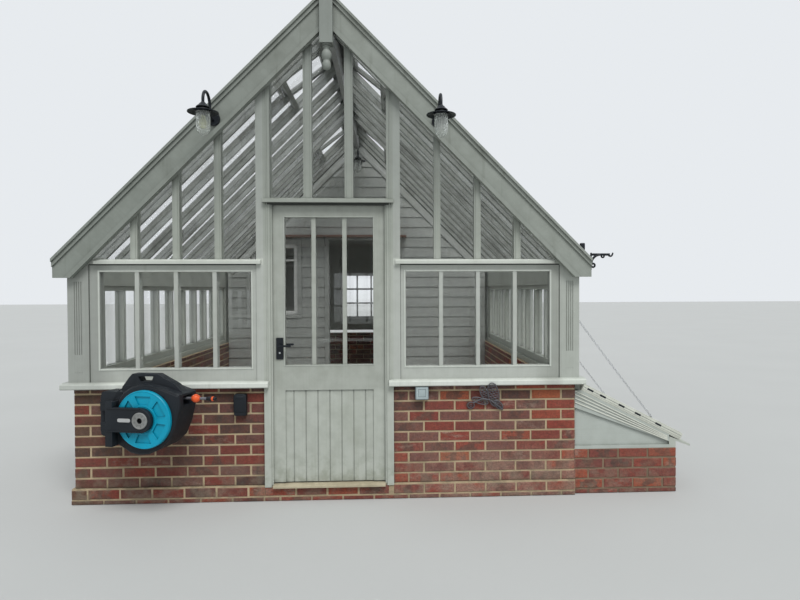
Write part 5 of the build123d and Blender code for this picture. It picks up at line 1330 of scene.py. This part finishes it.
def onDisc(radius, degrees):
    angle = math.radians(degrees)
    return Vector((math.cos(angle) * radius, math.sin(angle) * radius, -0.0005))


shell = bpy.data.objects.new("reel_shell", nodes["reel_housing"].data.copy())
shell.data.transform(nodes["reel_housing"].matrix_world)
scene.collection.objects.link(shell)
openMesh(shell, "VERT", "SELECT")
bpy.ops.mesh.remove_doubles(threshold=0.0001)
bpy.ops.mesh.select_all(action="SELECT")
bpy.ops.mesh.dissolve_limited(angle_limit=math.radians(0.5))
closeMesh()
cut(shell, addRod("cutter", onReel @ Vector((u, -arm + 0.0006, z)), onReel @ Vector((u, -0.32, z)), r["recess"], 64))
complete([shell], "reel_shell", darkPlastic, **reel, edge=0.0035, segments=3, angle=32, soft=34)
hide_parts("reel_housing")
print("reel shell", len(shell.data.polygons))

ticks = [addLathe("hub", softened(r["hubLine"]), reelFace(r["hub"]), 48)]
for step in range(r["ticks"]):
    tick = addBox("tick", *r["tick"])
    tick.data.transform(reelFace(r["hub"]) @ turned(z=360 * (step + 0.3) / r["ticks"]))
    ticks.append(tick)
complete(ticks, "reel_hub_ring", wornGrey, **reel)

rims = [addRing("rim", radius, wire, reelFace(r["disc"] - sunk), around, 8)
        for radius, wire, sunk, around in r["rims"]]
for step in range(r["spokes"]):
    angle = 90 + 360 / r["spokes"] * step
    for side in (-1, 1):
        near, far = onDisc(r["spokeNear"], angle + side * 20), onDisc(r["spokeFar"], angle + side * 21.5)
        rib = addRod("rib", near, far, r["spokeWire"], 8)
        rib.data.transform(reelFace(r["disc"]))
        rims.append(rib)
complete(rims, "reel_disc_rims", turquoise, "hose_reel", "turquoise_plastic", soft=60)

plate = addBox("plate", (u - r["plateLeft"], -arm - 0.002, z - r["plateHalf"]),
               (u - r["plateRight"], -arm + 0.004, z + r["plateHalf"]))
openMesh(plate, "EDGE")
pick(plate, lambda p, q: abs(p.x - q.x) < 0.0005 and abs(p.z - q.z) < 0.0005, "EDGE")
bpy.ops.mesh.bevel(offset=r["plateCorner"], segments=8)
closeMesh()
plate.data.transform(onReel)
complete([plate], "reel_plate", blankPlate, **reel, edge=0.0008, segments=1)

armRim = []
for side in (-1, 1):
    level = z + side * r["armHalf"]
    armRim.append(addPlank("rim", (u - r["armStart"], -arm - 0.001, level), (u + 0.002, -arm - 0.001, level), 0.007,
                           0.006, (0, -1, 0)))
arc = addRing("arc", r["armHalf"], 0.0034, at(u, -arm + 0.0014, z) @ turned(x=90), 48, 8)
trim(arc, (u, 0, 0), (-1, 0, 0))
armRim.append(arc)
armRim += [addRod("screw", (along, -0.2285, up), (along, -0.2335, up), 0.006, 10) for along, up in r["screws"]]
armRim += [addBox("cupLine", (0.1465, -0.2165, up), (0.1465 + wide, -0.2145, up + 0.003)) for up, wide in r["cups"]]
for (left, low), (right, high) in zip(r["seam"], r["seam"][1:]):
    armRim.append(addRod("seam", (left, r["wallSide"], low), (right, r["wallSide"], high), 0.0025, 6))
for part in armRim:
    part.data.transform(onReel)
complete(armRim, "reel_rims", darkPlastic, **reel, edge=0.0008, segments=1)

stub = {"out": 0.122, "z": 0.806, "start": 0.632, "ball": 0.768, "ribs": 9, "firstRib": 0.800, "ribPitch": 0.0052}
alongStub = onReel @ at(0, -stub["out"], stub["z"]) @ turned(y=90)
hoseLine = [(0.0, stub["start"]), (0.0088, stub["start"])]
for step in range(stub["ribs"]):
    place = stub["firstRib"] + step * stub["ribPitch"]
    hoseLine += [(0.0082, place), (0.0089, place + 0.0018), (0.0089, place + 0.0034)]
hoseLine += [(0.0082, 0.850), (0.0, 0.850)]
ballLine = [(wide, stub["ball"] + up) for wide, up in (
    (0.0, -0.028), (0.009, -0.028), (0.012, -0.0265), (0.020, -0.0195), (0.0262, -0.009), (0.028, 0), (0.0262, 0.009),
    (0.020, 0.0195), (0.012, 0.0265), (0.012, 0.031), (0.0, 0.031))]
couplingLine = [(0.0, 0.846), (0.0098, 0.846), (0.0118, 0.850), (0.0124, 0.862), (0.0148, 0.866), (0.0150, 0.878),
                (0.0130, 0.882), (0.0130, 0.8825)]
ringLine = [(0.0, 0.8825), (0.0135, 0.8825), (0.0150, 0.885), (0.0150, 0.893), (0.0135, 0.895), (0.0, 0.895)]
tipLine = [(0.0, 0.895), (0.0118, 0.895), (0.0122, 0.905), (0.0105, 0.9115), (0.0070, 0.912), (0.0065, 0.900),
           (0.0, 0.900)]
for name, line, steps, material in (
        ("hose_stub", hoseLine, 24, hoseGrey), ("hose_stopper", softened(ballLine), 32, orangePlastic),
        ("hose_coupling", couplingLine, 28, darkPlastic), ("hose_coupling_ring", ringLine, 28, orangePlastic),
        ("hose_coupling_tip", tipLine, 28, darkPlastic)):
    piece = addLathe(name, line, alongStub, steps)
    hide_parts("hose_end")
    dress(piece, material, **reel)
print("reel ready")

# basket bracket: bar, scroll brace and hook

bracket = {"x": 1.900, "y": -2.7675, "top": 1.777, "reach": 0.142}
x, y, top = bracket["x"], bracket["y"], bracket["top"]
sweep, foot, curl, hook = [addRing(name, radius, wire, at(along, y, up) @ turned(x=90), around, 8)
                           for name, radius, wire, along, up, around in (
    ("sweep", 0.068, 0.0085, 1.974, 1.700, 40), ("foot", 0.013, 0.0075, 1.9185, 1.690, 20),
    ("curl", 0.010, 0.0065, 1.990, 1.7575, 18), ("hook", 0.0150, 0.0066, 2.0465, 1.772, 28))]
trim(sweep, (1.976, 0, 0), (1, 0, 0))
trim(sweep, (0, 0, 1.702), (0, 0, -1))
trim(hook, (0, 0, 1.772), (0, 0, 1))
bracketParts = [
    addBox("plate", (x, y - 0.011, 1.657), (x + 0.006, y + 0.011, 1.782)),
    addBox("bar", (x, y - 0.006, top - 0.017), (x + bracket["reach"], y + 0.006, top)),
    sweep, foot, curl, hook, addRod("finger", (2.063, y, 1.771), (2.0650, y, 1.782), 0.0058, 8),
]
scroll = complete(bracketParts, "scroll_bracket", iron, slot="black_metal", edge=0.0012, segments=1, angle=50)
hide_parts("basket_bracket")

# small dark clip on the capping at the right eaves

clipLook = {"low": (1.812, -2.812, 1.798), "high": (1.846, -2.786, 1.850)}
clip = addBox("clip", clipLook["low"], clipLook["high"])
complete([clip], "capping_clip", iron, slot="black_metal", edge=0.006, segments=3, soft=35)

# wrought ornament on the right front wall: two upright wings over a curved body, filled with small rings

ornament = {
    "y": -2.7255, "wire": 0.0030, "small": 0.0092, "smallWire": 0.0021, "pitch": 0.0205, "rowShare": 0.87,
    "wings": ((1.186, 0.752, 0.040, 0.092, -14), (1.118, 0.765, 0.026, 0.058, -24), (1.228, 0.672, 0.022, 0.040, -42),
              (1.025, 0.672, 0.024, 0.024, 0), (1.090, 0.706, 0.062, 0.022, 18)),
    "stem": ((1.040, 0.690), (1.105, 0.722), (1.165, 0.712), (1.215, 0.672), (1.262, 0.634)),
    "pins": ((1.105, 0.722), (1.215, 0.672)), "wall": -2.716, "foot": 0.64, "lean": 20, "taller": 1.07,
}


def wireRing(x, z, halfWide, halfHigh, lean, wire):
    thin = 0.001
    ring = addRing("wire", 1.0, thin, Matrix.Identity(4), 36, 6)
    for vert in ring.data.vertices:
        middle = Vector((vert.co.x, vert.co.y, 0)).normalized()
        vert.co = Vector((middle.x * halfWide, middle.y * halfHigh, 0)) + (vert.co - middle) * (wire / thin)
    ring.data.transform(at(x, ornament["y"], z) @ turned(y=lean) @ turned(x=90))
    return ring


def wing(x, z, halfWide, halfHigh, lean):
    look = ornament
    pieces = [wireRing(x, z, halfWide, halfHigh, lean, look["wire"] * 1.3)]
    pitch = look["pitch"]
    rows, columns = int(halfHigh / pitch) + 1, int(halfWide / pitch) + 1
    for row in range(-rows, rows + 1):
        for column in range(-columns, columns + 1):
            across, up = (column + 0.5 * (row % 2)) * pitch, row * pitch * look["rowShare"]
            if (across / (halfWide - 0.004)) ** 2 + (up / (halfHigh - 0.004)) ** 2 < 1:
                spot = turned(y=lean) @ Vector((across, 0, up))
                place = at(x + spot.x, look["y"] + rng.uniform(-0.002, 0.002), z + spot.z) @ turned(x=90)
                pieces.append(addRing("ring", look["small"], look["smallWire"], place, 10, 4))
    return pieces


look = ornament
y = look["y"]
wires = [part for shape in look["wings"] for part in wing(*shape)]
for (left, low), (right, high) in zip(look["stem"], look["stem"][1:]):
    wires.append(addRod("stem", (left, y, low), (right, y, high), 0.0058, 10, 0.0050))
wires += [addRod("pin", (x, y, z), (x, look["wall"], z), 0.004, 8) for x, z in look["pins"]]
wires = joinAll(wires, "wall_ornament")
wires.data.transform(at(0, y, look["foot"]) @ turned(x=look["lean"]) @ Matrix.Diagonal((1, 1, look["taller"], 1))
                     @ at(0, -y, -look["foot"]))
complete([wires], "wall_ornament", pewter, slot="black_metal", soft=70)
print("ornament ready", len(wires.data.polygons))


# studio

studio = {
    "floorColour": (0.50, 0.51, 0.50),
    "skyColour": (0.80, 0.83, 0.86),
    "lightColour": (0.93, 0.97, 1.0),
    "worldStrength": 0.55,
    "keyStrength": 2.2,
    "keyAngle": 26.0,
    "keyTurn": (33, 13, 0),
}


def makeStudio():
    clearSelection()
    bpy.ops.mesh.primitive_plane_add(size=120, location=(0, 0, -0.002))
    ground = settle(named("studioFloor"))
    material, tree, shader = newTree("studioFloor")
    mottled = noise(tree, objectPlace(tree), 0.6, 3)
    colour = ramp(tree, mottled, [(0.3, studio["floorColour"]), (0.8, tuple(c * 1.04 for c in studio["floorColour"]))])
    link(tree, colour, shader.inputs["Base Color"])
    shader.inputs["Roughness"].default_value = 0.9
    ground.data.materials.append(material)
    world = bpy.data.worlds.new("studioSky")
    scene.world = world
    world.use_nodes = True
    tree = world.node_tree
    tree.nodes.clear()
    output = add(tree, "ShaderNodeOutputWorld")
    light = add(tree, "ShaderNodeBackground", in_Color=(*studio["lightColour"], 1), in_Strength=studio["worldStrength"])
    seen = add(tree, "ShaderNodeBackground", in_Color=(*studio["skyColour"], 1), in_Strength=1.0)
    path = add(tree, "ShaderNodeLightPath").outputs
    direct = work(tree, "MAXIMUM", path["Is Camera Ray"], path["Is Transmission Ray"])
    either = work(tree, "MAXIMUM", direct, path["Is Glossy Ray"])
    mix = add(tree, "ShaderNodeMixShader")
    link(tree, either, mix.inputs["Fac"])
    link(tree, light.outputs[0], mix.inputs[1])
    link(tree, seen.outputs[0], mix.inputs[2])
    link(tree, mix.outputs[0], output.inputs["Surface"])
    clearSelection()
    bpy.ops.object.light_add(type="SUN", rotation=[math.radians(a) for a in studio["keyTurn"]])
    sun = bpy.context.active_object.data
    sun.energy = studio["keyStrength"]
    sun.angle = math.radians(studio["keyAngle"])
    scene.view_settings.view_transform = "Standard"


makeStudio()
print("studio ready")
